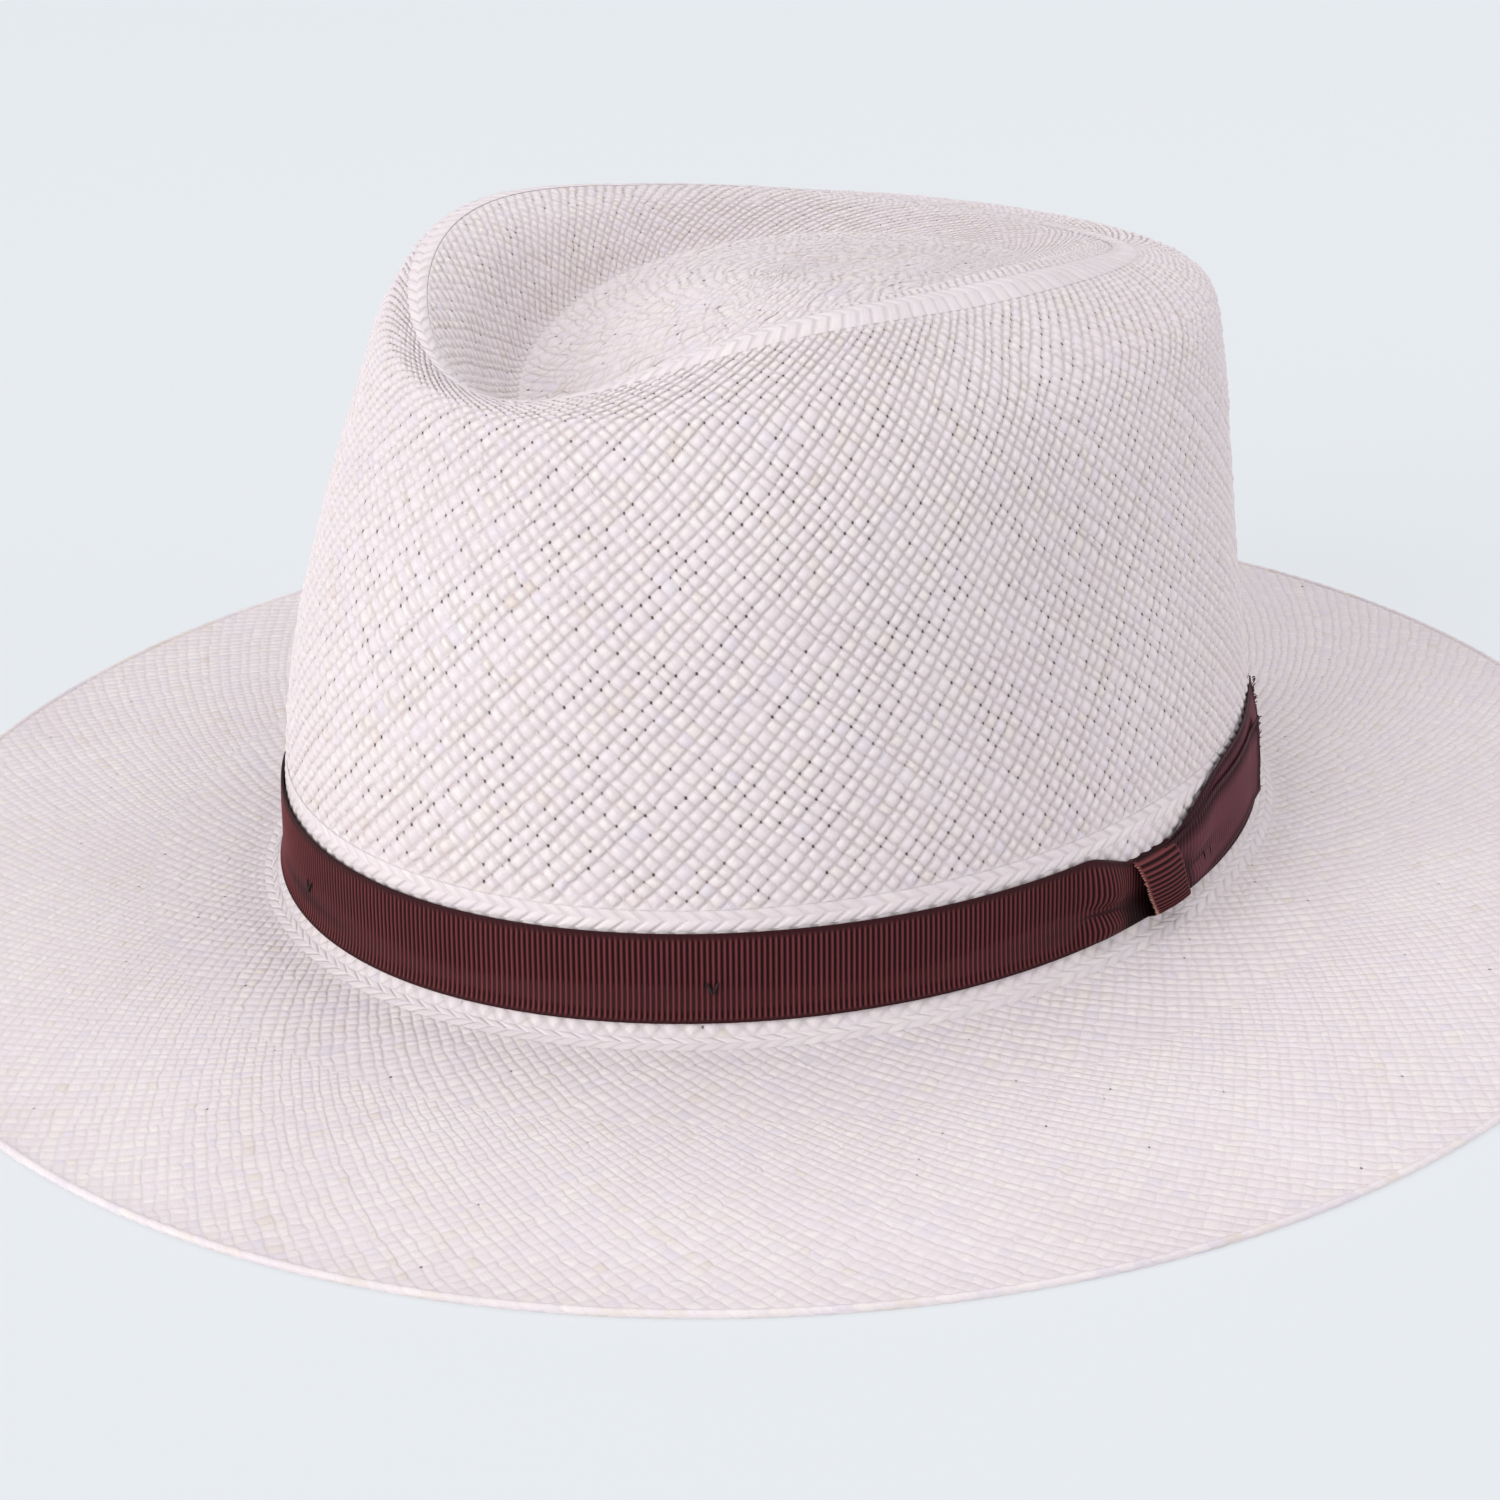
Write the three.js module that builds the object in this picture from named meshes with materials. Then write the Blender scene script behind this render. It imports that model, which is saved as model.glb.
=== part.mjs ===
// A panama hat with a teardrop crown, a grosgrain hatband and a flat bow.
// Millimetres, +Z up. The hat stands on its brim edge at z = 0. Its front faces -Y and the wearer's
// left is +X, where the bow sits. The origin is the middle of the brim outline.

import * as THREE from 'three';
import { mergeVertices } from 'three/addons/utils/BufferGeometryUtils.js';

// --- Driving dimensions ---------------------------------------------------------------------------

const STRAW_THICKNESS = 1.2;
const GAP = 0.35; // left between neighbouring pieces
const TURN = 2 * Math.PI;
const HAT_SEGMENTS = 60; // facets round the hat

// The outer face of the straw, as rings from the brim edge to the crown's centre. Each ring gives its
// reach from the centre and its height at the front, the side and the back, how much wider its front
// is than its back (taper), and how far it dips at the very front.
const RINGS = [
  { name: 'brim_edge', reach: [178, 167, 178], height: [1.2, 1.2, 1.2] },
  { name: 'brim_band', reach: [171, 160, 171], height: [1.2, 1.2, 1.2] },
  { name: 'brim_middle', reach: [140, 127, 140], height: [3.4, 3.4, 3.4] },
  { name: 'brim_inner', reach: [113, 97.3, 113], height: [5.2, 5.2, 5.2] },
  { name: 'brim_break', reach: [104.8, 88.5, 104.8], height: [6.5, 6.5, 6.5] },
  { name: 'foot', reach: [101.9, 85.6, 101.9], height: [9, 9, 9] },
  { name: 'band_top', reach: [100.6, 84.3, 100], height: [26, 26, 26] },
  { name: 'wall_low', reach: [97.8, 81.4, 96.3], height: [50, 50, 50] },
  { name: 'wall_middle', reach: [88.8, 76.9, 96.1], height: [76, 77, 75], taper: 0.02 },
  { name: 'wall_high', reach: [78.4, 73.2, 95.2], height: [98, 101, 93], taper: 0.02 },
  { name: 'shoulder', reach: [75, 66.4, 95.6], height: [115.7, 111.8, 103.5], taper: 0.02, dip: 7 },
  { name: 'crest', reach: [69.5, 46.8, 86.4], height: [127.5, 122.6, 104.6], taper: 0.31, dip: 18.7 },
  { name: 'crest_inner', reach: [64, 37.8, 80], height: [119.4, 121.5, 105.8], taper: 0.3, dip: 15.4 },
  { name: 'groove_wall', reach: [58.5, 33.5, 72], height: [106, 116.5, 105.8], taper: 0.28, dip: 8 },
  { name: 'groove_floor', reach: [53, 30.5, 65], height: [95.5, 111.9, 105.8], taper: 0.28 },
  { name: 'dome_foot', reach: [46, 26, 57], height: [98, 112.2, 107], taper: 0.2 },
  { name: 'dome_shoulder', reach: [26, 14.5, 36], height: [109.5, 114.6, 111.3], taper: 0.12 },
  { name: 'dome_top', reach: [0, 0, 0], height: [115.6, 115.6, 115.6] },
];
const STATION = Object.fromEntries(RINGS.map((ring, index) => [ring.name, index]));

// How many steps the facets take between each ring and the next.
const RING_STEPS = [1, 2, 2, 1, 1, 2, 2, 2, 2, 2, 2, 1, 1, 1, 1, 2, 2];

// The hatband and its bow. Angles are in degrees from the front, growing towards the wearer's left.
const [BAND_BOTTOM] = RINGS[STATION.foot].height;
const [BAND_TOP] = RINGS[STATION.band_top].height;
const BAND_THICKNESS = 0.7;
const BAND_END_GAP = 1; // degrees between the hatband's two ends, under the knot
const BAND_EXTRA_STEPS = 12; // makes the facets short enough for the pinch
const PINCHED = { low: 9.2, high: 22.2 }; // heights of the ribbon's edges under the knot
const PINCH_START = 3; // degrees from the knot's middle
const PINCH_REACH = 9; // degrees over which the band narrows to the knot

const TAIL_THICKNESS = 0.5;
const TAIL_SPREAD = 0.45; // share of a tail's length over which it fans out
const TAIL_LIFT_AT_TIP = 0.2;
const BACK_TAIL = { reach: 36, rise: 4.6, low: 11, high: 28, lift: 2 * GAP + BAND_THICKNESS };
const FRONT_TAIL = {
  reach: 33,
  rise: 1,
  low: 9.5,
  high: 26.5,
  lift: BACK_TAIL.lift + TAIL_THICKNESS + GAP,
};

const KNOT_ANGLE = 100;
const KNOT_WIDTH = 10;
const KNOT_THICKNESS = 1;
const KNOT_BOTTOM = 9;
const KNOT_TOP = 22.9;
const KNOT_BULGE = 1.5; // how far the knot's middle stands out past its lower and upper ends
const KNOT_ROUNDING = 0.4; // how far its middle stands out past its cut sides

const THREAD_RADIUS = 0.28;
const TACK_ANGLES = [-12.5, 45.5, 155, 203, 251, 299]; // clear of the bow
const TACK_SPREAD = 0.7; // degrees from a tack's middle to its ends
const TACK_LOW = 15.4;
const TACK_HIGH = 17.4;
const BOW_TACK_ANGLES = [108.6, 110.2];
const BOW_TACK_LOW = 13.2;
const BOW_TACK_HIGH = 16.6;

// The sweatband and what holds it.
const SWEATBAND_THICKNESS = 0.9;
const SWEATBAND_TOP = 6.6; // in stations: about 40 mm above the brim edge
const SWEATBAND_END = 179.4; // degrees from the front, either way round
const JOINT_THICKNESS = 0.6;
const JOINT_HALF_WIDTH = 7; // degrees
const TAPE_THICKNESS = 0.3;
const TAPE_END = 178.5; // degrees from the front, either way round
const TAPE_WIDTH = 0.45; // in stations: about 8 mm
const SWEATBAND_LIFT = -(STRAW_THICKNESS + 2 * GAP + TAPE_THICKNESS + SWEATBAND_THICKNESS);
const REED_RADIUS = 0.9;
const REED_HEIGHT = 6.2;
const REED_END = 179; // degrees from the front, either way round
const REED_CLEARANCE = 0.8; // keeps the reed off the straw where the brim turns up into the crown
const STITCH_COUNT = 60;
const STITCH_DEPTH = 0.4;
const STITCH_STATION = 0.16; // above the foot, in stations: about 3 mm

// --- Materials ------------------------------------------------------------------------------------

const straw = new THREE.MeshStandardMaterial({ color: 0xece4df, roughness: 0.7, metalness: 0 });
const ribbon = new THREE.MeshStandardMaterial({ color: 0x3f1f27, roughness: 0.75, metalness: 0 });
const leather = new THREE.MeshStandardMaterial({ color: 0xcbb08c, roughness: 0.55, metalness: 0 });
const cloth = new THREE.MeshStandardMaterial({ color: 0xe6e0d2, roughness: 0.85, metalness: 0 });
const thread = new THREE.MeshStandardMaterial({ color: 0xe9e4da, roughness: 0.8, metalness: 0 });
const darkThread = new THREE.MeshStandardMaterial({ color: 0x4a2530, roughness: 0.8, metalness: 0 });

// --- The straw surface ----------------------------------------------------------------------------

// A point of a ring, angle 0 at the front and a quarter turn at the wearer's left.
function ringPoint(ring, angle) {
  const c = Math.cos(angle);
  const [front, side, back] = ring.height;
  const [frontReach, sideReach, backReach] = ring.reach;
  const widening = 1 + (ring.taper ?? 0) * c;
  const dip = (ring.dip ?? 0) * Math.max(c, 0) ** 4;
  const height = side + (front - back) / 2 * c + ((front + back) / 2 - side) * c * c - dip;
  const reach = c > 0 ? frontReach : backReach;
  return new THREE.Vector3(sideReach * Math.sin(angle) * widening, -reach * c, height);
}

function profileAt(angle) {
  return new THREE.CatmullRomCurve3(RINGS.map((ring) => ringPoint(ring, angle)), false, 'centripetal');
}

// A point at a fractional ring number, lifted off the straw's outer face along its normal.
function shellPoint(angle, station, lift) {
  const nudge = 0.01;
  const last = RINGS.length - 1;
  const profile = profileAt(angle);
  const point = profile.getPoint(station / last);
  const inward = profile.getPoint(Math.min(station + nudge, last) / last);
  inward.sub(profile.getPoint(Math.max(station - nudge, 0) / last));
  const around = profileAt(angle + nudge).getPoint(station / last);
  around.sub(profileAt(angle - nudge).getPoint(station / last));
  const normal = around.cross(inward).normalize();
  return point.addScaledVector(normal, lift);
}

// The fractional ring number at a height on the crown's foot, where the rings are level.
function stationAtHeight(height) {
  const low = height < BAND_TOP ? STATION.foot : STATION.band_top;
  const [start] = RINGS[low].height;
  const [end] = RINGS[low + 1].height;
  return low + (height - start) / (end - start);
}

function radians(degrees) {
  return degrees * TURN / 360;
}

// --- Solids ---------------------------------------------------------------------------------------

// Joins a row of outlines, all with the same number of points, into one closed solid. A row that
// doesn't close on itself gets flat ends, zipped across from the outline's first half to its second.
function loft(outlines, closesOnItself) {
  const size = outlines[0].length;
  const rows = outlines.length;
  const faces = [];
  const quad = (a, b, c, d) => faces.push(a, b, c, a, c, d);
  for (let row = 0; row < (closesOnItself ? rows : rows - 1); row++) {
    const next = (row + 1) % rows;
    for (let i = 0; i < size; i++) {
      const j = (i + 1) % size;
      quad(row * size + i, row * size + j, next * size + j, next * size + i);
    }
  }
  if (!closesOnItself) {
    const lastRow = (rows - 1) * size;
    for (let i = 0; i < size / 2 - 1; i++) {
      quad(i, size - 1 - i, size - 2 - i, i + 1);
      quad(lastRow + i, lastRow + i + 1, lastRow + size - 2 - i, lastRow + size - 1 - i);
    }
  }
  const geometry = new THREE.BufferGeometry();
  geometry.setFromPoints(outlines.flat());
  geometry.setIndex(faces);
  return finished(geometry);
}

// Welds equal points, drops the faces that this leaves without area, and turns the solid outwards.
function finished(geometry) {
  const welded = mergeVertices(geometry, 1e-5);
  const index = Array.from(welded.index.array);
  const kept = [];
  for (let i = 0; i < index.length; i += 3) {
    const [a, b, c] = index.slice(i, i + 3);
    if (a !== b && b !== c && c !== a) kept.push(a, b, c);
  }
  if (signedVolume(welded, kept) < 0) kept.reverse();
  welded.setIndex(kept);
  welded.computeVertexNormals();
  return welded;
}

function signedVolume(geometry, index) {
  const { position } = geometry.attributes;
  const corners = [new THREE.Vector3(), new THREE.Vector3(), new THREE.Vector3()];
  let volume = 0;
  for (let i = 0; i < index.length; i += 3) {
    corners.forEach((corner, k) => corner.fromBufferAttribute(position, index[i + k]));
    volume += corners[0].dot(corners[1].cross(corners[2])) / 6;
  }
  return volume;
}

// A strip that lies along the straw from one angle to another. `edges` gives the strip's low and high
// stations and `lift` its inner face's distance from the straw, both for a share of the way along.
function strip({ from, to, steps, rows, thickness, edges, lift }) {
  const outlines = [];
  for (let step = 0; step <= steps; step++) {
    const share = step / steps;
    const angle = radians(from + (to - from) * share);
    const [low, high] = edges(share);
    const outer = [];
    const inner = [];
    for (let row = 0; row <= rows; row++) {
      const station = low + (high - low) * row / rows;
      outer.push(shellPoint(angle, station, lift(share) + thickness));
      inner.unshift(shellPoint(angle, station, lift(share)));
    }
    outlines.push([...outer, ...inner]);
  }
  return loft(outlines, false);
}

// A round thread or cord along a curve, with flat ends.
function cordAlong(path, radius, steps, quarterSides) {
  const section = new THREE.Shape().absarc(0, 0, radius, 0, TURN);
  const options = { steps, curveSegments: 2 * quarterSides, bevelEnabled: false, extrudePath: path };
  const cord = new THREE.ExtrudeGeometry(section, options);
  cord.deleteAttribute('normal');
  cord.deleteAttribute('uv');
  return finished(cord);
}

// --- Pieces ---------------------------------------------------------------------------------------

// Crown and brim, one woven shell. Each outline runs up the outer face to the crown's centre and back
// along the inner face; its underside is flat and level under the brim band.
function strawBody() {
  const stations = [0];
  RING_STEPS.forEach((steps, ring) => {
    for (let step = 1; step <= steps; step++) stations.push(ring + step / steps);
  });
  const outlines = [];
  for (let segment = 0; segment < HAT_SEGMENTS; segment++) {
    const angle = TURN * segment / HAT_SEGMENTS;
    const outer = stations.map((station) => strawPoint(angle, station, 0));
    const inner = stations.map((station) => strawPoint(angle, station, -STRAW_THICKNESS));
    outlines.push([...outer, ...inner.reverse()]);
  }
  return loft(outlines, true);
}

// As shellPoint, with the normal held upright where the brim edge lies flat and at the centre.
function strawPoint(angle, station, lift) {
  const upright = station <= STATION.brim_band || station === STATION.dome_top;
  if (!upright) return shellPoint(angle, station, lift);
  const point = ringPoint(RINGS[station], angle);
  return point.setZ(point.z + lift);
}

// How far the ribbon is pinched at an angle: 0 away from the knot, 1 under it.
function pinchAt(degrees) {
  const distance = Math.max(Math.abs(degrees - KNOT_ANGLE) - PINCH_START, 0);
  return 1 - THREE.MathUtils.smoothstep(distance, 0, PINCH_REACH);
}

// The lower and upper stations of a ribbon that is pinched by a share of the way.
function ribbonEdges(low, high, pinch) {
  const bottom = THREE.MathUtils.lerp(low, PINCHED.low, pinch);
  const top = THREE.MathUtils.lerp(high, PINCHED.high, pinch);
  return [stationAtHeight(bottom), stationAtHeight(top)];
}

// The ribbon goes once round the hat; its two ends meet under the knot.
function hatband() {
  const from = KNOT_ANGLE + BAND_END_GAP / 2;
  const to = from + 360 - BAND_END_GAP;
  return strip({
    from,
    to,
    steps: HAT_SEGMENTS + BAND_EXTRA_STEPS,
    rows: 2,
    thickness: BAND_THICKNESS,
    edges: (share) => {
      const degrees = (from + (to - from) * share) % 360;
      return ribbonEdges(BAND_BOTTOM, BAND_TOP, pinchAt(degrees));
    },
    lift: () => GAP,
  });
}

// A tail of the bow: it fans out from the knot, rises a little, and ends in a straight cut.
function bowTail({ reach, rise, low, high, lift }) {
  const from = KNOT_ANGLE + 1;
  return strip({
    from,
    to: from + reach,
    steps: 10,
    rows: 2,
    thickness: TAIL_THICKNESS,
    edges: (share) => {
      const pinch = 1 - THREE.MathUtils.smoothstep(share, 0, TAIL_SPREAD);
      const raised = rise * share;
      return ribbonEdges(low + raised, high + raised, pinch);
    },
    lift: (share) => lift + TAIL_LIFT_AT_TIP * share,
  });
}

// The knot: a short upright ribbon that bows out over the hatband and both tails.
function bowKnot() {
  const { front, side } = footReach();
  const halfWidth = KNOT_WIDTH / (front + side);
  const bottom = stationAtHeight(KNOT_BOTTOM);
  const top = stationAtHeight(KNOT_TOP);
  const foot = FRONT_TAIL.lift + TAIL_THICKNESS + GAP;
  const outlines = [];
  for (const across of [-1, -0.5, 0, 0.5, 1]) {
    const angle = radians(KNOT_ANGLE) + across * halfWidth;
    const edge = foot + KNOT_ROUNDING * (1 - across * across);
    const outer = [];
    const inner = [];
    for (const share of [0, 0.12, 0.3, 0.5, 0.7, 0.88, 1]) {
      const station = bottom + (top - bottom) * share;
      const bulge = edge + KNOT_BULGE * Math.sin(Math.PI * share);
      outer.push(shellPoint(angle, station, bulge + KNOT_THICKNESS));
      inner.unshift(shellPoint(angle, station, bulge));
    }
    outlines.push([...outer, ...inner]);
  }
  return loft(outlines, false);
}

// A small V-shaped thread tack on the ribbon.
function hatbandTack(degrees) {
  const lift = 2 * GAP + BAND_THICKNESS + THREAD_RADIUS;
  const tackPoint = (shift, height) => (
    shellPoint(radians(degrees + shift), stationAtHeight(height), lift)
  );
  const points = [
    tackPoint(-TACK_SPREAD, TACK_HIGH),
    tackPoint(0, TACK_LOW),
    tackPoint(TACK_SPREAD, TACK_HIGH),
  ];
  const path = new THREE.CatmullRomCurve3(points, false, 'centripetal');
  return cordAlong(path, THREAD_RADIUS, 6, 1);
}

// An upright thread across the front tail, close behind the knot.
function bowTack(degrees) {
  const lift = FRONT_TAIL.lift + TAIL_THICKNESS + TAIL_LIFT_AT_TIP / 2 + GAP + THREAD_RADIUS;
  const low = shellPoint(radians(degrees), stationAtHeight(BOW_TACK_LOW), lift);
  const high = shellPoint(radians(degrees), stationAtHeight(BOW_TACK_HIGH), lift);
  return cordAlong(new THREE.LineCurve3(low, high), THREAD_RADIUS, 2, 1);
}

// Leather band inside the crown's foot; its ends meet at the back.
function sweatband() {
  return strip({
    from: -SWEATBAND_END,
    to: SWEATBAND_END,
    steps: HAT_SEGMENTS,
    rows: 3,
    thickness: SWEATBAND_THICKNESS,
    edges: () => [STATION.foot, SWEATBAND_TOP],
    lift: () => SWEATBAND_LIFT,
  });
}

// A short patch of the same leather behind the sweatband's ends.
function sweatbandJoint() {
  return strip({
    from: 180 - JOINT_HALF_WIDTH,
    to: 180 + JOINT_HALF_WIDTH,
    steps: 4,
    rows: 2,
    thickness: JOINT_THICKNESS,
    edges: () => [STATION.foot + 0.35, SWEATBAND_TOP - 0.05],
    lift: () => SWEATBAND_LIFT - GAP - JOINT_THICKNESS,
  });
}

// The cloth tape between the straw and the sweatband's lower edge.
function reedTape() {
  return strip({
    from: -TAPE_END,
    to: TAPE_END,
    steps: HAT_SEGMENTS,
    rows: 1,
    thickness: TAPE_THICKNESS,
    edges: () => [STATION.foot, STATION.foot + TAPE_WIDTH],
    lift: () => -(STRAW_THICKNESS + GAP + TAPE_THICKNESS),
  });
}

function footReach() {
  const [front, side] = RINGS[STATION.foot].reach;
  return { front, side };
}

// The springy cord in the sweatband's lower edge, with a small gap at the back.
function sweatbandReed() {
  const { front, side } = footReach();
  const inset = STRAW_THICKNESS + GAP + REED_RADIUS + REED_CLEARANCE;
  const path = new THREE.Curve();
  path.getPoint = (share) => {
    const angle = radians(REED_END * (2 * share - 1));
    const x = (side - inset) * Math.sin(angle);
    const y = -(front - inset) * Math.cos(angle);
    return new THREE.Vector3(x, y, REED_HEIGHT);
  };
  return cordAlong(path, REED_RADIUS, HAT_SEGMENTS, 2);
}

// The thread that sews the sweatband to its reed: one running stitch all the way round.
function sweatbandThread() {
  const station = STATION.foot + STITCH_STATION;
  const points = [];
  for (let i = 0; i <= 2 * STITCH_COUNT; i++) {
    const angle = radians(REED_END * (i / STITCH_COUNT - 1));
    const depth = GAP + THREAD_RADIUS + (i % 2) * STITCH_DEPTH;
    points.push(shellPoint(angle, station, SWEATBAND_LIFT - depth));
  }
  const path = new THREE.CatmullRomCurve3(points, false, 'centripetal');
  return cordAlong(path, THREAD_RADIUS, 2 * STITCH_COUNT, 1);
}

// --- Assembly -------------------------------------------------------------------------------------

const hat = new THREE.Group();

function add(name, geometry, material) {
  const mesh = new THREE.Mesh(geometry, material);
  mesh.name = name;
  hat.add(mesh);
}

add('straw_body', strawBody(), straw);
add('hatband', hatband(), ribbon);
add('bow_tail_back', bowTail(BACK_TAIL), ribbon);
add('bow_tail_front', bowTail(FRONT_TAIL), ribbon);
add('bow_knot', bowKnot(), ribbon);
TACK_ANGLES.forEach((degrees, index) => {
  add(`hatband_tack_${index + 1}`, hatbandTack(degrees), darkThread);
});
BOW_TACK_ANGLES.forEach((degrees, index) => {
  add(`bow_tack_${index + 1}`, bowTack(degrees), darkThread);
});
add('sweatband', sweatband(), leather);
add('sweatband_joint', sweatbandJoint(), leather);
add('sweatband_reed', sweatbandReed(), cloth);
add('reed_tape', reedTape(), cloth);
add('sweatband_thread', sweatbandThread(), thread);

export default hat;
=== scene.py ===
import math

import bpy
import numpy as np
from mathutils import Matrix, Vector


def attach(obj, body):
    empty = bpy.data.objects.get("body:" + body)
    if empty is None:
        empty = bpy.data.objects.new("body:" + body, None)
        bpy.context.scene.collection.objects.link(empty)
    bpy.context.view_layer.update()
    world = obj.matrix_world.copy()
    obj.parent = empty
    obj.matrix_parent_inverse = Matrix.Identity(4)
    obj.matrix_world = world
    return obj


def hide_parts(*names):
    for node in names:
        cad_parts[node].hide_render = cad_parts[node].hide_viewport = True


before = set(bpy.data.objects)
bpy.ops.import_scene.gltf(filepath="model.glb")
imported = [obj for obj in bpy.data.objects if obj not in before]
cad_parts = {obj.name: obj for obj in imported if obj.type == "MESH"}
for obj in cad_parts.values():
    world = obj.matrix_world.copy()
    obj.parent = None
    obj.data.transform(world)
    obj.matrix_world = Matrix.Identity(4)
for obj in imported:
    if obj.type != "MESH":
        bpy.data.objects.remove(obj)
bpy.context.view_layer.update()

# --- The hat's surface, in millimetres ------------------------------------------------------------
# Name, reach from the centre (front, side, back), height (front, side, back), how much wider the
# front is than the back, and how far the ring dips at the very front. The same rings as the CAD.
RINGS = [
    ("brim_edge", (178, 167, 178), (1.2, 1.2, 1.2), 0, 0),
    ("brim_band", (171, 160, 171), (1.2, 1.2, 1.2), 0, 0),
    ("brim_middle", (140, 127, 140), (3.4, 3.4, 3.4), 0, 0),
    ("brim_inner", (113, 97.3, 113), (5.2, 5.2, 5.2), 0, 0),
    ("brim_break", (104.8, 88.5, 104.8), (6.5, 6.5, 6.5), 0, 0),
    ("foot", (101.9, 85.6, 101.9), (9, 9, 9), 0, 0),
    ("band_top", (100.6, 84.3, 100), (26, 26, 26), 0, 0),
    ("wall_low", (97.8, 81.4, 96.3), (50, 50, 50), 0, 0),
    ("wall_middle", (88.8, 76.9, 96.1), (76, 77, 75), 0.02, 0),
    ("wall_high", (78.4, 73.2, 95.2), (98, 101, 93), 0.02, 0),
    ("shoulder", (75, 66.4, 95.6), (115.7, 111.8, 103.5), 0.02, 7),
    ("crest", (69.5, 46.8, 86.4), (127.5, 122.6, 104.6), 0.31, 18.7),
    ("crest_inner", (64, 37.8, 80), (119.4, 121.5, 105.8), 0.3, 15.4),
    ("groove_wall", (58.5, 33.5, 72), (106, 116.5, 105.8), 0.28, 8),
    ("groove_floor", (53, 30.5, 65), (95.5, 111.9, 105.8), 0.28, 0),
    ("dome_foot", (46, 26, 57), (98, 112.2, 107), 0.2, 0),
    ("dome_shoulder", (26, 14.5, 36), (109.5, 114.6, 111.3), 0.12, 0),
    ("dome_top", (0, 0, 0), (115.6, 115.6, 115.6), 0, 0),
]
STATION = {ring[0]: index for index, ring in enumerate(RINGS)}
LAST = len(RINGS) - 1
STRAW_THICKNESS = 1.2
TURN = 2 * math.pi
MM = 0.001

TABLE_ANGLES = 1440  # columns of the surface table, all the way round
TABLE_STEPS = 40  # rows of the surface table between two rings


def ring_points(angle):
    """Each ring's points at the given angles, 0 at the front and a quarter turn at the wearer's left."""
    cos, sin = np.cos(angle), np.sin(angle)
    rings = []
    for _, reach, height, taper, dip in RINGS:
        front, side, back = height
        x = reach[1] * sin * (1 + taper * cos)
        y = -np.where(cos > 0, reach[0], reach[2]) * cos
        z = side + (front - back) / 2 * cos + ((front + back) / 2 - side) * cos**2
        rings.append(np.stack([x, y, z - dip * np.maximum(cos, 0) ** 4], axis=-1))
    return np.array(rings)


def smooth_rows(rings, steps):
    """Rows between the rings on centripetal Catmull-Rom curves, one curve for each angle."""
    padded = np.concatenate([[2 * rings[0] - rings[1]], rings, [2 * rings[-1] - rings[-2]]])
    rows = []
    for p0, p1, p2, p3 in zip(padded, padded[1:], padded[2:], padded[3:]):
        knots = [0]
        for a, b in ((p0, p1), (p1, p2), (p2, p3)):
            gap = np.sqrt(np.linalg.norm(b - a, axis=-1, keepdims=True))
            knots.append(knots[-1] + np.maximum(gap, 1e-6))
        t0, t1, t2, t3 = knots
        for step in range(steps):
            t = t1 + (t2 - t1) * step / steps
            a1 = ((t1 - t) * p0 + (t - t0) * p1) / (t1 - t0)
            a2 = ((t2 - t) * p1 + (t - t1) * p2) / (t2 - t1)
            a3 = ((t3 - t) * p2 + (t - t2) * p3) / (t3 - t2)
            b1 = ((t2 - t) * a1 + (t - t0) * a2) / (t2 - t0)
            b2 = ((t3 - t) * a2 + (t - t1) * a3) / (t3 - t1)
            rows.append(((t2 - t) * b1 + (t - t1) * b2) / (t2 - t1))
    rows.append(rings[-1])
    return np.array(rows)


def surface_tables():
    angle = np.linspace(0, TURN, TABLE_ANGLES + 1)
    points = smooth_rows(ring_points(angle), TABLE_STEPS)
    around = np.empty_like(points)
    around[:, 1:-1] = points[:, 2:] - points[:, :-2]
    around[:, 0] = around[:, -1] = points[:, 1] - points[:, -2]
    normals = np.cross(around, np.gradient(points, axis=0))
    normals[-1] = (0, 0, 1)
    normals /= np.linalg.norm(normals, axis=-1, keepdims=True)
    return points, normals


POINTS, NORMALS = surface_tables()
PERIMETER = np.linalg.norm(np.diff(POINTS, axis=1), axis=-1).sum(axis=1)
ROW_LENGTH = np.linalg.norm(np.diff(POINTS, axis=0), axis=-1).mean(axis=1)
ROW_STATION = np.arange(len(POINTS)) / TABLE_STEPS


def looked_up(table, angle, station):
    """A table's values between its rows and columns."""
    column = (angle / TURN % 1) * TABLE_ANGLES
    row = np.clip(station, 0, LAST) * TABLE_STEPS
    left = np.minimum(column.astype(int), TABLE_ANGLES - 1)
    low = np.minimum(row.astype(int), len(table) - 2)
    across, up = (column - left)[:, None], (row - low)[:, None]
    lower = table[low, left] * (1 - across) + table[low, left + 1] * across
    upper = table[low + 1, left] * (1 - across) + table[low + 1, left + 1] * across
    return lower * (1 - up) + upper * up


def on_hat(angle, station, lift=0.0):
    """Points on the straw's outer face, lifted off it along its normal, in millimetres."""
    angle, station, lift = np.broadcast_arrays(np.asarray(angle, float), station, lift)
    shape = angle.shape
    angle, station, lift = angle.ravel(), np.asarray(station, float).ravel(), lift.ravel()
    points = looked_up(POINTS, angle, station)
    points += looked_up(NORMALS, angle, station) * lift[:, None]
    return points.reshape(*shape, 3)


def station_at_height(height):
    """The station at a height on the crown's foot, where the rings are level."""
    heights = [RINGS[STATION[name]][2][0] for name in ("foot", "band_top", "wall_low")]
    stations = [STATION[name] for name in ("foot", "band_top", "wall_low")]
    return np.interp(height, heights, stations)


def on_foot(degrees, height, lift):
    """Points on the crown's foot at angles in degrees and at heights, lifted off the straw."""
    return on_hat(np.radians(degrees), station_at_height(height), lift)


def smoothstep(value, low, high):
    share = np.clip((value - low) / (high - low), 0, 1)
    return share * share * (3 - 2 * share)


def arch(share, flatness, steepness):
    """1 over the middle of a span and 0 at its ends. More flatness widens its top."""
    return np.clip(1 - np.abs(2 * share - 1) ** flatness, 0, 1) ** steepness


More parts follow.
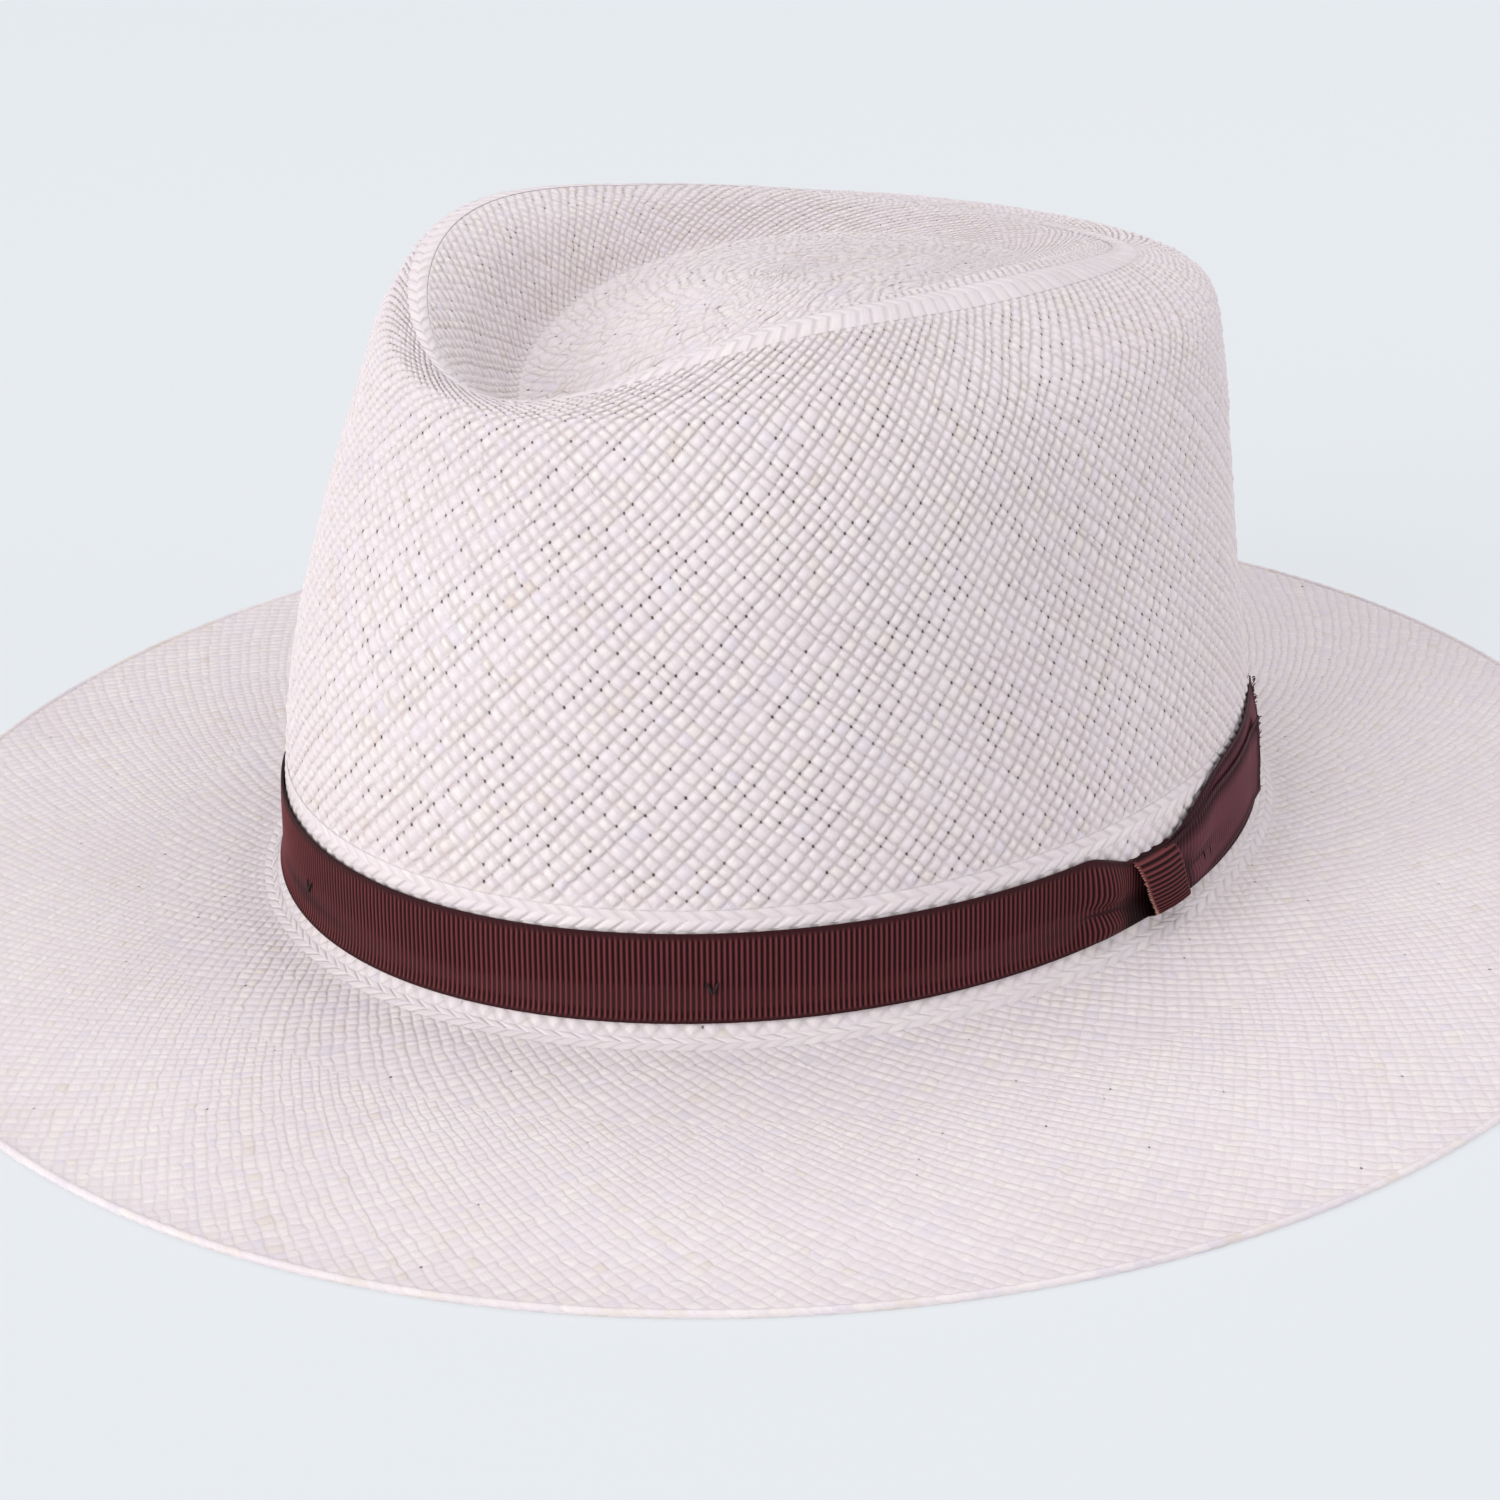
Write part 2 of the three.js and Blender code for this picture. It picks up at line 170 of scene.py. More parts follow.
# --- Meshes ---------------------------------------------------------------------------------------
def mesh_piece(
    name, points, faces, material, nodes=(), uv=None, face_values=None, point_values=None
):
    """A piece from points in millimetres and a list of face arrays, standing for its CAD nodes."""
    mesh = bpy.data.meshes.new(name)
    corners = np.concatenate([group.ravel() for group in faces])
    sides = np.concatenate([np.full(len(group), group.shape[1]) for group in faces])
    mesh.vertices.add(len(points))
    mesh.vertices.foreach_set("co", (points * MM).astype(np.float32).ravel())
    mesh.loops.add(len(corners))
    mesh.loops.foreach_set("vertex_index", corners.astype(np.int32))
    mesh.polygons.add(len(sides))
    mesh.polygons.foreach_set("loop_start", np.concatenate([[0], np.cumsum(sides)[:-1]]).astype(np.int32))
    mesh.polygons.foreach_set("use_smooth", np.ones(len(sides), bool))
    if uv is not None:
        layer = mesh.uv_layers.new(name="weave")
        layer.data.foreach_set("uv", np.asarray(uv, np.float32).ravel())
    for key, values in (face_values or {}).items():
        mesh.attributes.new(key, "FLOAT", "FACE").data.foreach_set("value", values.astype(np.float32))
    for key, values in (point_values or {}).items():
        mesh.attributes.new(key, "FLOAT", "POINT").data.foreach_set("value", values.astype(np.float32))
    mesh.update(calc_edges=True)
    mesh.materials.append(material)
    piece = bpy.data.objects.new(name, mesh)
    bpy.context.scene.collection.objects.link(piece)
    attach(piece, "root")
    if nodes:
        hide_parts(*nodes)
    return piece


def grid_faces(rows, columns, closed_rows=False, closed_columns=False, flip=False):
    """Quads of a grid of points stored row by row, and each corner's row and column."""
    row, column = np.meshgrid(
        np.arange(rows if closed_rows else rows - 1),
        np.arange(columns if closed_columns else columns - 1),
        indexing="ij",
    )
    row, column = row.ravel(), column.ravel()
    corner_rows = np.stack([row, row, row + 1, row + 1], axis=1)
    corner_columns = np.stack([column, column + 1, column + 1, column], axis=1)
    if flip:
        corner_rows, corner_columns = corner_rows[:, ::-1], corner_columns[:, ::-1]
    faces = (corner_rows % rows) * columns + corner_columns % columns
    return faces, corner_rows, corner_columns


def strip_faces(rows, columns, flip=False):
    """A closed strip's quads and end caps, and each quad corner's row and column."""
    faces, corner_rows, corner_columns = grid_faces(rows, columns, closed_rows=True, flip=flip)
    every = np.arange(rows)[None, ::-1] if flip else np.arange(rows)[None, :]
    caps = [every * columns, every[:, ::-1] * columns + columns - 1]
    return [faces] + caps, corner_rows, corner_columns


def strip_uv(across, along, rows):
    """A closed strip's UVs from its quads' corner values, with none on its two end caps."""
    uv = np.stack([across, along], axis=-1).reshape(-1, 2)
    return np.concatenate([uv, np.zeros((2 * rows, 2))])


# --- Straw weave ----------------------------------------------------------------------------------
DIVE_DEPTH = 0.45  # how far a strand sinks where it goes under the next, against its height
MAIN_GROOVE, SIDE_GROOVE = 1.0, 0.9  # depth of the grooves each way: one way always shows more
FLAT_GROOVES = (0.85, 0.75)  # the same on the brim
CELL_VARIETY = 64  # how many different cells a strand has before they repeat
TWIST_BEND = 1.3 * math.pi  # strands lean most two fifths of the way up a zone, and back at its top
EDGE_UNEVEN = 0.05  # how unevenly the strands' edges lie, in cells
STRAND_SPREAD, CELL_SPREAD = 0.2, 0.16  # how much the heights of strands and of cells differ
SURFACE_LEVEL = 0.7  # how far up a strand the hat's surface lies, against the strand's height
FADED_LEVEL = 0.6  # the even height that a zone's relief fades to at its two edges
FULL_RELIEF = 0.2  # relief from which the painted shade in the creases is at its darkest
TIGHT_STRANDS = 0.62  # share of the strands that are laid tight, with few gaps beside them
TIGHT_GAPS, LOOSE_GAPS = 0.8, 2.4  # how many gaps a tight and a loose strand have, against holes
BRAID_LEAN = 0.7  # how far a braided ring's strands lean, in strand widths
BRAID_STEPS = 6  # quads across a braided ring's strand
BRAID_SPREAD = 0.25  # how much the heights of a braided ring's strands differ
ROLL_STEPS, ROLL_SIDES = 5, 12  # quads along each strand of the brim's roll, and round the roll


def strand_side(share):
    """How full a strand is across its width, 1 over its middle and 0 at its edges."""
    return arch(share, 3.2, 0.65)


def crossing_height(p, q, strength_p, strength_q, strength_cell, groove_p, groove_q):
    """Height of a plain weave at strand coordinates p and q, averaged over the cells that meet there."""
    strands = len(strength_p)
    total = np.zeros_like(p)
    nudge = 1e-4  # a place on an edge looks at the cells on both of its sides
    for shift_p in (-nudge, nudge):
        for shift_q in (-nudge, nudge):
            i, j = np.floor(p + shift_p), np.floor(q + shift_q)
            u, v = p - i, q - j
            over_p = (i + j) % 2 == 0
            pillow = (1 - groove_p * (1 - strand_side(u))) * (1 - groove_q * (1 - strand_side(v)))
            along = np.where(over_p, v, u)
            height = pillow * (1 - DIVE_DEPTH * (2 * along - 1) ** 2)
            strength = np.where(
                over_p,
                strength_p[i.astype(int) % strands],
                strength_q[j.astype(int) % strands],
            )
            cell = strength_cell[i.astype(int) % strands, (i - j).astype(int) % CELL_VARIETY]
            total += height * strength * cell
    return total / 4


def between_strands(values, position):
    """Values given at each strand's edge, for positions between the edges."""
    strand = np.floor(position).astype(int)
    share = position - strand
    count = len(values)
    return values[strand % count] * (1 - share) + values[(strand + 1) % count] * share


def between_crossings(values, p, q):
    """Values given at each crossing of two strands' edges, for positions between the crossings."""
    strands, variety = values.shape
    i, j = np.floor(p).astype(int), np.floor(q).astype(int)
    u, v = p - i, q - j
    total = np.zeros_like(p)
    for near_i, share_i in ((i, 1 - u), (i + 1, u)):
        for near_j, share_j in ((j, 1 - v), (j + 1, v)):
            total += values[near_i % strands, (near_i - near_j) % variety] * share_i * share_j
    return total


def zone_stations(strands, start, end, rows_per_unit, tighten):
    """Stations of the weave's rows from one station to another, an even number of steps."""
    middle = (ROW_STATION[:-1] + ROW_STATION[1:]) / 2
    inside = (middle > start) & (middle < end)
    width = (PERIMETER[:-1] + PERIMETER[1:]) / 2 / strands
    width = width * (1 - tighten * ((middle - start) / (end - start)) ** 2)
    units = np.concatenate([[0], np.cumsum(np.where(inside, ROW_LENGTH / width, 0))])
    steps = max(2, 2 * round(units[-1] * rows_per_unit / 2))
    low, high = np.searchsorted(ROW_STATION, [start, end])
    keep = slice(low, high + 1)
    return np.interp(np.linspace(0, units[-1], steps + 1), units[keep], ROW_STATION[keep])


def straw_piece(name, points, faces, material, uv, tint, turned=0.0, hole_shade=0.0, crease_shade=0.0, nodes=()):
    """A piece of straw. tint and turned are for its faces; the painted shade of its gaps and creases is
    for its points.
    """
    points = points.reshape(-1, 3)
    total = sum(len(group) for group in faces)
    face_values = {"tint": tint, "turned": turned}
    point_values = {"hole_shade": hole_shade, "crease_shade": crease_shade}
    return mesh_piece(
        name,
        points,
        faces,
        material,
        nodes,
        uv=uv.reshape(-1, 2),
        face_values={key: np.broadcast_to(value, total) for key, value in face_values.items()},
        point_values={key: np.broadcast_to(value, len(points)) for key, value in point_values.items()},
    )


def crossing_shifts(rng, p, q, a, b, strands, alternate, wobble):
    """How far each place of the weave is moved along p and q, none at the zone's two edges."""
    edges_p, edges_q = rng.normal(0, EDGE_UNEVEN, (2, strands))
    around = TURN * a / strands
    patch = 0.5 + 0.5 * np.sin(3 * around + 0.35 * b) * np.sin(5 * around - 0.3 * b + 1)
    wide = alternate * patch
    sign_p, sign_q = (-1.0) ** np.floor(p), (-1.0) ** np.floor(q)
    shift_p = between_strands(edges_p, p) + wide * sign_p * (1 - 2 * (p - np.floor(p)))
    shift_q = between_strands(edges_q, q) + wide * sign_q * (1 - 2 * (q - np.floor(q)))
    shift_p = shift_p + between_crossings(rng.normal(0, wobble, (strands, CELL_VARIETY)), p, q)
    shift_q = shift_q + between_crossings(rng.normal(0, wobble, (strands, CELL_VARIETY)), p, q)
    fade = np.clip(np.minimum(b, b[-1, 0] - b), 0, 1)
    return shift_p * fade, shift_q * fade


def lattice_faces(rows, columns):
    """Quads round each lattice point's upper diamond, and triangles that close the two edges.

    Each is a pair: its corners' rows and its corners' columns.
    """
    row, column = np.meshgrid(np.arange(rows - 2), np.arange(columns), indexing="ij")
    row, column = row.ravel(), column.ravel()
    odd = row % 2
    quads = (
        np.stack([row, row + 1, row + 2, row + 1], axis=1),
        np.stack([column, column + odd, column, column + odd - 1], axis=1),
    )
    every = np.arange(columns)
    first = np.zeros(columns, int)
    final = np.full(columns, rows - 1)
    low = np.stack([first, first, first + 1], axis=1)
    high = np.stack([final - 1, final, final], axis=1)
    triangles = (
        np.concatenate([low, high]),
        np.tile(np.stack([every, every + 1, every], axis=1), (2, 1)),
    )
    return quads, triangles


def strand_faces(face_rows, face_columns, columns, detail, tint_p, tint_q, cell_tint):
    """Faces of the lattice, their UVs across and along the strand on top, its tint, and its way."""
    strands = len(tint_p)
    corner_a = (face_columns + 0.5 * (face_rows % 2)) / detail
    corner_b = face_rows / (2 * detail)
    corner_p, corner_q = corner_a + corner_b, corner_a - corner_b
    i = np.floor(corner_p.mean(axis=1)).astype(int)
    j = np.floor(corner_q.mean(axis=1)).astype(int)
    over_p = (i + j) % 2 == 0
    across = np.where(over_p[:, None], corner_p - i[:, None], corner_q - j[:, None])
    along = np.where(over_p[:, None], corner_q, corner_p)
    strand_tint = np.where(over_p, tint_p[i % strands], tint_q[j % strands])
    return (
        face_rows * columns + face_columns % columns,
        np.stack([across, along], axis=-1).reshape(-1, 2),
        0.6 * strand_tint + 0.4 * cell_tint[i % strands, (i - j) % CELL_VARIETY],
        over_p,
    )


def woven_piece(
    name, material, strands, start, end, relief, detail,
    lift=0.0, inside=False, wobble=0.04, alternate=0.08, holes=0.4, crowded=0.0, twist=0.0,
    tighten=0.0, flat=False, seed=1, nodes=(),
):
    """A zone of the straw, its strands running diagonally round the hat.

    relief is the strands' height against the weave's cell width, at the zone's start and end.
    detail is the number of quads across a strand. inside turns the zone inwards. flat is for the
    brim, where the deeper grooves lean the other way than on the crown. wobble moves the crossings
    and alternate makes each second strand narrower. holes is the share of crossings with a gap.
    crowded sets the strands closer at the hat's sides than at its front and back, tighten closer
    towards the zone's end, and twist leans them.
    """
    rng = np.random.default_rng(seed)
    stations = zone_stations(strands, start, end, 2 * detail, tighten)
    rows, columns = len(stations), strands * detail
    row, column = np.meshgrid(np.arange(rows), np.arange(columns), indexing="ij")
    a = (column + 0.5 * (row % 2)) / detail
    b = row / (2 * detail)
    p, q = a + b, a - b
    total = b[-1, 0]
    shift_p, shift_q = crossing_shifts(rng, p, q, a, b, strands, alternate, wobble)
    lean = twist * total / TWIST_BEND * (1 - np.cos(TWIST_BEND * b / total))
    turn = TURN * (a + (shift_p + shift_q) / 2 - lean) / strands
    angle = turn + crowded / 2 * np.sin(2 * turn)
    station = np.interp(b + (shift_p - shift_q) / 2, b[:, 0], stations)

    strength_p, strength_q = 1 + rng.uniform(-STRAND_SPREAD, STRAND_SPREAD, (2, strands))
    strength_cell = 1 + rng.uniform(-CELL_SPREAD, CELL_SPREAD, (strands, CELL_VARIETY))
    grooves = FLAT_GROOVES if flat else (SIDE_GROOVE, MAIN_GROOVE)
    height = crossing_height(p, q, strength_p, strength_q, strength_cell, *grooves)
    edge_fade = smoothstep(np.minimum(b, total - b), 0, 0.22)
    height = FADED_LEVEL + (height - FADED_LEVEL) * edge_fade
    width = np.interp(station, ROW_STATION, PERIMETER) / strands
    scale = np.interp(b, [0, total], relief) * width
    out = (height - SURFACE_LEVEL) * scale
    points = on_hat(angle, station, lift - out if inside else lift + out)

    tint_p, tint_q = rng.random((2, strands))
    cell_tint = rng.random((strands, CELL_VARIETY))
    groups = []
    for corners in lattice_faces(rows, columns):
        if inside:
            corners = [part[:, ::-1] for part in corners]
        groups.append(strand_faces(*corners, columns, detail, tint_p, tint_q, cell_tint))
    faces, uvs, tints, over_p = zip(*groups)

    corner = (np.round(p) == p) & (np.round(q) == q)
    loose = rng.random(strands)[np.round(q).astype(int) % strands] > TIGHT_STRANDS
    chance = rng.random((rows, columns))
    is_open = corner & (chance < holes * np.where(loose, LOOSE_GAPS, TIGHT_GAPS))
    depth = edge_fade * (0.45 + 0.55 * rng.random((rows, columns)))
    # Gaps at crossings, to be painted dark for the shaded inside behind them, fainter towards the zone's
    # edges.
    hole_shade = np.where(is_open, depth, 0.0).ravel()
    # How strong the painted shade in the creases is, and also the depth of the pillows' bump.
    crease_shade = np.clip(np.interp(b, [0, total], relief) / FULL_RELIEF, 0, 1) * (0.4 + 0.6 * edge_fade)
    uv, tint = np.concatenate(uvs), np.concatenate(tints)
    turned = np.concatenate(over_p) == flat
    return straw_piece(name, points, faces, material, uv, tint, turned, hole_shade, crease_shade.ravel(), nodes)


def braided_ring(name, material, strands, start, end, relief, seed):
    """Two rows of slanted strands that lean opposite ways, as where new strands join the weave."""
    rng = np.random.default_rng(seed)
    columns, rows = strands * BRAID_STEPS, 2 * BRAID_STEPS + 1
    row, column = np.meshgrid(np.arange(rows), np.arange(columns), indexing="ij")
    b = row / BRAID_STEPS
    a = column / BRAID_STEPS + BRAID_LEAN * np.minimum(b, 2 - b)
    across_height = arch(column / BRAID_STEPS % 1, 3, 0.6)
    end_height = np.clip(np.sin(math.pi * (b % 1)), 0, 1) ** 0.5
    height = (0.1 + 0.9 * across_height) * (0.72 + 0.28 * end_height)
    bar = (column // BRAID_STEPS, (b > 1).astype(int))
    height = height * (1 + rng.uniform(-BRAID_SPREAD, BRAID_SPREAD, (strands, 2)))[bar]
    edge_fade = smoothstep(np.minimum(b, 2 - b), 0, 0.3)
    station = start + (end - start) * b / 2
    width = np.interp(station, ROW_STATION, PERIMETER) / strands
    lift = (height - FADED_LEVEL) * edge_fade * relief * width
    points = on_hat(TURN * a / strands, station, lift)
    faces, face_rows, face_columns = grid_faces(rows, columns, closed_columns=True)
    bar = face_columns[:, 0] // BRAID_STEPS
    corner_b = face_rows / BRAID_STEPS
    upper = (corner_b.mean(axis=1) > 1).astype(int)
    uv = np.stack([face_columns / BRAID_STEPS - bar[:, None], 0.2 + 0.3 * corner_b], axis=-1)
    tint = 0.15 + 0.6 * rng.random((2, strands))[upper, bar % strands]
    return straw_piece(name, points, [faces], material, uv, tint, 1.0, 0.0, relief / FULL_RELIEF)


def edge_roll(name, material, strands, radius, relief):
    """The back-woven brim edge: a thin roll of slanted strands along the outline."""
    columns = strands * ROLL_STEPS
    row, column = np.meshgrid(np.arange(ROLL_SIDES), np.arange(columns), indexing="ij")
    angle = TURN * column / columns
    around = TURN * row / ROLL_SIDES
    reach = radius + relief * arch((column / ROLL_STEPS + row / ROLL_SIDES) % 1, 2.2, 0.6)
    outline = on_hat(angle, 0.0)
    outward = outline * (1, 1, 0) / np.linalg.norm(outline[..., :2], axis=-1, keepdims=True)
    full = radius + relief
    points = outline - outward * full + outward * (reach * np.cos(around))[..., None]
    points[..., 2] = full + reach * np.sin(around)
    faces, face_rows, face_columns = grid_faces(
        ROLL_SIDES, columns, closed_rows=True, closed_columns=True, flip=True
    )
    corner_phase = face_columns / ROLL_STEPS + face_rows / ROLL_SIDES
    bar = np.floor(corner_phase.mean(axis=1)).astype(int)
    across = 0.3 + 0.4 * (corner_phase - bar[:, None])
    uv = np.stack([across, 0.4 + 0.2 * face_rows / ROLL_SIDES], axis=-1)
    tint = np.random.default_rng(71).random(strands)[bar % strands]
    return straw_piece(name, points, [faces], material, uv, tint)


def crown_rosette(name, material, start, strands):
    """The middle of the crown, where the first strands cross: a small closed cap."""
    angle = TURN * np.arange(strands) / strands
    stations = np.linspace(start, LAST, 6)[:-1]
    rings = [on_hat(angle, station) for station in stations]
    points = np.concatenate(rings + [on_hat([0.0], LAST, 0.08)])
    faces, _, _ = grid_faces(len(stations), strands, closed_columns=True)
    centre = len(points) - 1
    last_ring = centre - strands
    every = np.arange(strands)
    following = (every + 1) % strands
    fan = np.stack([last_ring + every, last_ring + following, np.full(strands, centre)], axis=1)
    uv = np.full((faces.size + fan.size, 2), 0.5)
    return straw_piece(name, points, [faces, fan], material, uv, 0.3)


# --- Ribbon ---------------------------------------------------------------------------------------
RIB_PITCH = 1.0
RIB_HEIGHT = 0.24
RIB_STEPS = 6
SELVEDGE = 1.3
KNOT_ANGLE = 100.0
BAND_BOTTOM, BAND_TOP = 9.1, 26.1
BAND_RISE = 0.5  # how much higher the hatband sits at the front left
PINCHED_BOTTOM, PINCHED_TOP = 9.2, 22.2
PINCH_START, PINCH_REACH = 3.0, 9.0  # degrees from the knot
RISE_ANGLE, RISE_REACH = 40, 36  # where the hatband sits higher, in degrees
KNOT_RIBS, KNOT_THICKNESS = 16, 0.7
KNOT_BOTTOM, KNOT_HEIGHT, KNOT_SPREAD = 8.3, 14.1, 6.4  # millimetres, and degrees across
EDGE_ROWS = [(0.02, 1.0), (0.0, 0.6), (0.0, 0.2)]  # share of the width, depth in thicknesses


def ribbon_rows():
    """Rows round a ribbon's cross-section: share of its width and depth below its outer face."""
    face = [(share, 0.0) for share in (0.012, 0.03, 0.055, 0.09, 0.16, 0.25, 0.34, 0.42, 0.5)]
    half = EDGE_ROWS + face
    other = [(1 - share, depth) for share, depth in reversed(half[:-1])]
    return np.array(half + other)


def even_degrees(start, end, spacing, steps):
    """Angles evenly spaced along the hatband, with a whole number of ribs between start and end."""
    fine = np.linspace(start, end, 2000)
    path = on_foot(fine, 17.0, 1.0)
    length = np.concatenate([[0], np.cumsum(np.linalg.norm(np.diff(path, axis=0), axis=1))])
    ribs = round(length[-1] / spacing)
    return np.interp(np.linspace(0, length[-1], ribs * steps + 1), length, fine)


def rib_wave(columns):
    """0 in the gaps between a ribbon's ribs, 1 on their tops."""
    return 0.5 - 0.5 * np.cos(TURN * (np.arange(columns)[None, :] / RIB_STEPS))


# Painted shade in the gaps between a ribbon's ribs, fading out towards its selvedges.
def rib_gap_shade_mask(woven, rib):
    return woven * (1 - smoothstep(rib, 0.35, 1.05))


def ribbon_mesh(name, points, material, nodes, section, flip, rib_gap_shade, selvedge_and_edge_shadow, knot_hollow_shade):
    """A ribbon from a grid of points, with the painted shade of its rib gaps and of the knot's hollows,
    and its darker selvedges, at each point.
    """
    rows, columns = points.shape[:2]
    faces, face_rows, face_columns = strip_faces(rows, columns, flip)
    dark = {"rib_gap_shade": rib_gap_shade, "selvedge_and_edge_shadow": selvedge_and_edge_shadow, "knot_hollow_shade": knot_hollow_shade}
    dark = {key: np.broadcast_to(value, (rows, columns)).ravel() for key, value in dark.items()}
    return mesh_piece(
        name,
        points.reshape(-1, 3),
        faces,
        material,
        nodes,
        uv=strip_uv(face_columns / RIB_STEPS, section[face_rows % rows, 0], rows),
        point_values=dark,
    )


def ribbon_piece(name, material, start, end, edges, lift, thickness, nodes, seed=1, frayed=False):
    """A grosgrain ribbon laid round the hat between two angles in degrees.

    edges gives its lower and upper height and lift its outer face's lift, both for arrays of degrees.
    """
    degrees = even_degrees(start, end, RIB_PITCH, RIB_STEPS)[None, :]
    section = ribbon_rows()
    share = section[:, :1]
    low, high = edges(degrees)
    rib = rib_wave(degrees.size)
    from_edge = np.minimum(share, 1 - share) * (high - low)
    woven = smoothstep(from_edge, 0.3 * SELVEDGE, SELVEDGE)
    profile = woven * rib + (1 - woven) * (0.75 + 0.25 * rib)
    slack = lift(degrees, share) + RIB_HEIGHT * (profile - 1) - section[:, 1:] * thickness
    border, cut = SELVEDGE, 0.0
    if frayed:
        rng = np.random.default_rng(seed)
        wobble = 0.35 * np.sin(23 * share + seed) + 0.25 * np.sin(47 * share)
        wobble = wobble + rng.normal(0, 0.08, share.shape)
        degrees = degrees + wobble * smoothstep(degrees, end - 2.0, end)
        # On the tails the dark selvedge band is wider, most along the upper edge, where it is partly
        # painted shadow of the raised edge; it also darkens towards the cut end.
        border = SELVEDGE * np.where(share > 0.5, 2.3, 1.3)
        cut = smoothstep(degrees, end - 1.9, end - 0.8)
    selvedge_and_edge_shadow = np.maximum(1 - smoothstep(from_edge, 0.5 * border, 1.1 * border), cut)
    points = on_foot(degrees, low + (high - low) * share, slack)
    rib_gap_shade, knot_hollow_shade = rib_gap_shade_mask(woven, rib), knot_shadow(degrees, share)
    return ribbon_mesh(name, points, material, nodes, section, True, rib_gap_shade, selvedge_and_edge_shadow, knot_hollow_shade)


def degrees_past(degrees, centre):
    """Degrees past an angle of the hat, negative before it."""
    return (degrees - centre + 180) % 360 - 180


def knot_shadow(degrees, share):
    """Painted shade for the hollows on both sides of the knot: 1 there, less in the ribbon's upper half.
    """
    past = degrees_past(degrees, KNOT_ANGLE)
    near = smoothstep(past, -8.2, -4.6) * (1 - smoothstep(past, 4.4, 6.5))
    return near * (1 - 0.8 * smoothstep(share, 0.4, 0.75))


def band_edges(degrees):
    """The hatband's lower and upper height: pinched at the knot, a little higher at the front left."""
    from_knot = np.abs(degrees_past(degrees, KNOT_ANGLE))
    pinch = 1 - smoothstep(from_knot, PINCH_START, PINCH_START + PINCH_REACH)
    rise = BAND_RISE * np.exp(-((degrees_past(degrees, RISE_ANGLE) / RISE_REACH) ** 2))
    low = BAND_BOTTOM + (PINCHED_BOTTOM - BAND_BOTTOM) * pinch + rise
    high = BAND_TOP + (PINCHED_TOP - BAND_TOP) * pinch + rise
    return low, high


def gathers(degrees, share, depth, middle, reach, fold_width):
    """Two soft bulges with a fold between them, standing out a little way from the knot."""
    near = np.exp(-(((degrees_past(degrees, KNOT_ANGLE) - middle) / reach) ** 2))
    fold = 1 - 0.85 * np.exp(-(((share - 0.45) / fold_width) ** 2))
    rounded = np.clip(np.sin(math.pi * np.clip(share, 0, 1)), 0, 1) ** 0.5
    return depth * near * fold * rounded


def band_lift(degrees, share):
    ripple = 0.05 * np.sin(np.radians(degrees) * 7) * np.sin(math.pi * share)
    return 0.85 + ripple + gathers(degrees, share, 2.9, -8.8, 2.8, 0.12)


def tail_edges(reach, rise, low, high, spread):
    """A tail's lower and upper height, opening from the pinch at the knot to its full width."""

    def edges(degrees):
        along = (degrees - KNOT_ANGLE) / reach
        open_share = smoothstep(along, 0, spread)
        bottom = PINCHED_BOTTOM + (low - PINCHED_BOTTOM) * open_share + rise * along
        top = PINCHED_TOP + (high - PINCHED_TOP) * open_share + rise * along
        return bottom, top

    return edges


def tail_lift(base, reach, settle, curl):
    """The tail's lift; above the hatband its tip settles onto the straw, and its cut end curls off."""

    def lift(degrees, share):
        along = np.clip((degrees - KNOT_ANGLE) / reach, 0, 1)
        wave = 0.08 * np.sin(6 * along + 3 * share)
        settled = settle * smoothstep(along, 0.55, 1) * smoothstep(share, 0.35, 0.95)
        curled = curl * np.clip((along - 0.85) / 0.15, 0, 1) ** 1.6
        return base + wave - settled + curled + gathers(degrees, share, 1.3, 7.5, 3.0, 0.15)

    return lift


def knot_lift(along, crown=0.0):
    """How far the knot stands off the straw, from its lower end to its upper one."""
    return 0.5 + arch(along, 3.2, 0.5) * (2.9 + 1.3 * (1 - along) + crown)


def bow_knot(name, material, nodes):
    """The knot: a short loop of ribbon across the bow, its ribs running from side to side."""
    section = ribbon_rows()
    share = section[:, :1]
    columns = KNOT_RIBS * RIB_STEPS + 1
    along = np.linspace(0, 1, columns)[None, :]
    rib = rib_wave(columns)
    woven = smoothstep(np.minimum(share, 1 - share), 0.01, 0.05)
    lift = knot_lift(along, 0.5 * np.sin(math.pi * np.clip(share, 0, 1)))
    lift = lift + 1.3 * RIB_HEIGHT * (woven * rib - 1) - section[:, 1:] * KNOT_THICKNESS
    degrees = KNOT_ANGLE + (share - 0.5) * KNOT_SPREAD + (1.4 + 1.2 * (1 - share)) * (0.5 - along)
    points = on_foot(degrees, KNOT_BOTTOM + KNOT_HEIGHT * along, lift)
    return ribbon_mesh(name, points, material, nodes, section, False, rib_gap_shade_mask(woven, rib), 0.0, 0.0)


def threads(name, material, paths, radius, sides=6, nodes=()):
    """Thin round threads along paths of points in millimetres, tapered at both ends."""
    points, faces, base = [], [], 0
    for path in paths:
        path = np.asarray(path, float)
        forward = np.gradient(path, axis=0)
        forward /= np.linalg.norm(forward, axis=1, keepdims=True)
        helper = np.array([0.31, 0.17, 0.93])
        side = np.cross(forward, helper)
        side /= np.linalg.norm(side, axis=1, keepdims=True)
        up = np.cross(side, forward)
        turn = TURN * np.arange(sides) / sides
        taper = np.ones(len(path))
        taper[[0, -1]] = 0.45
        cos, sin = np.cos(turn)[None, :, None], np.sin(turn)[None, :, None]
        ring = path[:, None] + (side[:, None] * cos + up[:, None] * sin) * (radius * taper)[:, None, None]
        points.append(ring.reshape(-1, 3))
        quads, _, _ = grid_faces(len(path), sides, closed_columns=True, flip=True)
        faces.append(quads + base)
        base += ring.shape[0] * ring.shape[1]
    return mesh_piece(name, np.concatenate(points), [np.concatenate(faces)], material, nodes)


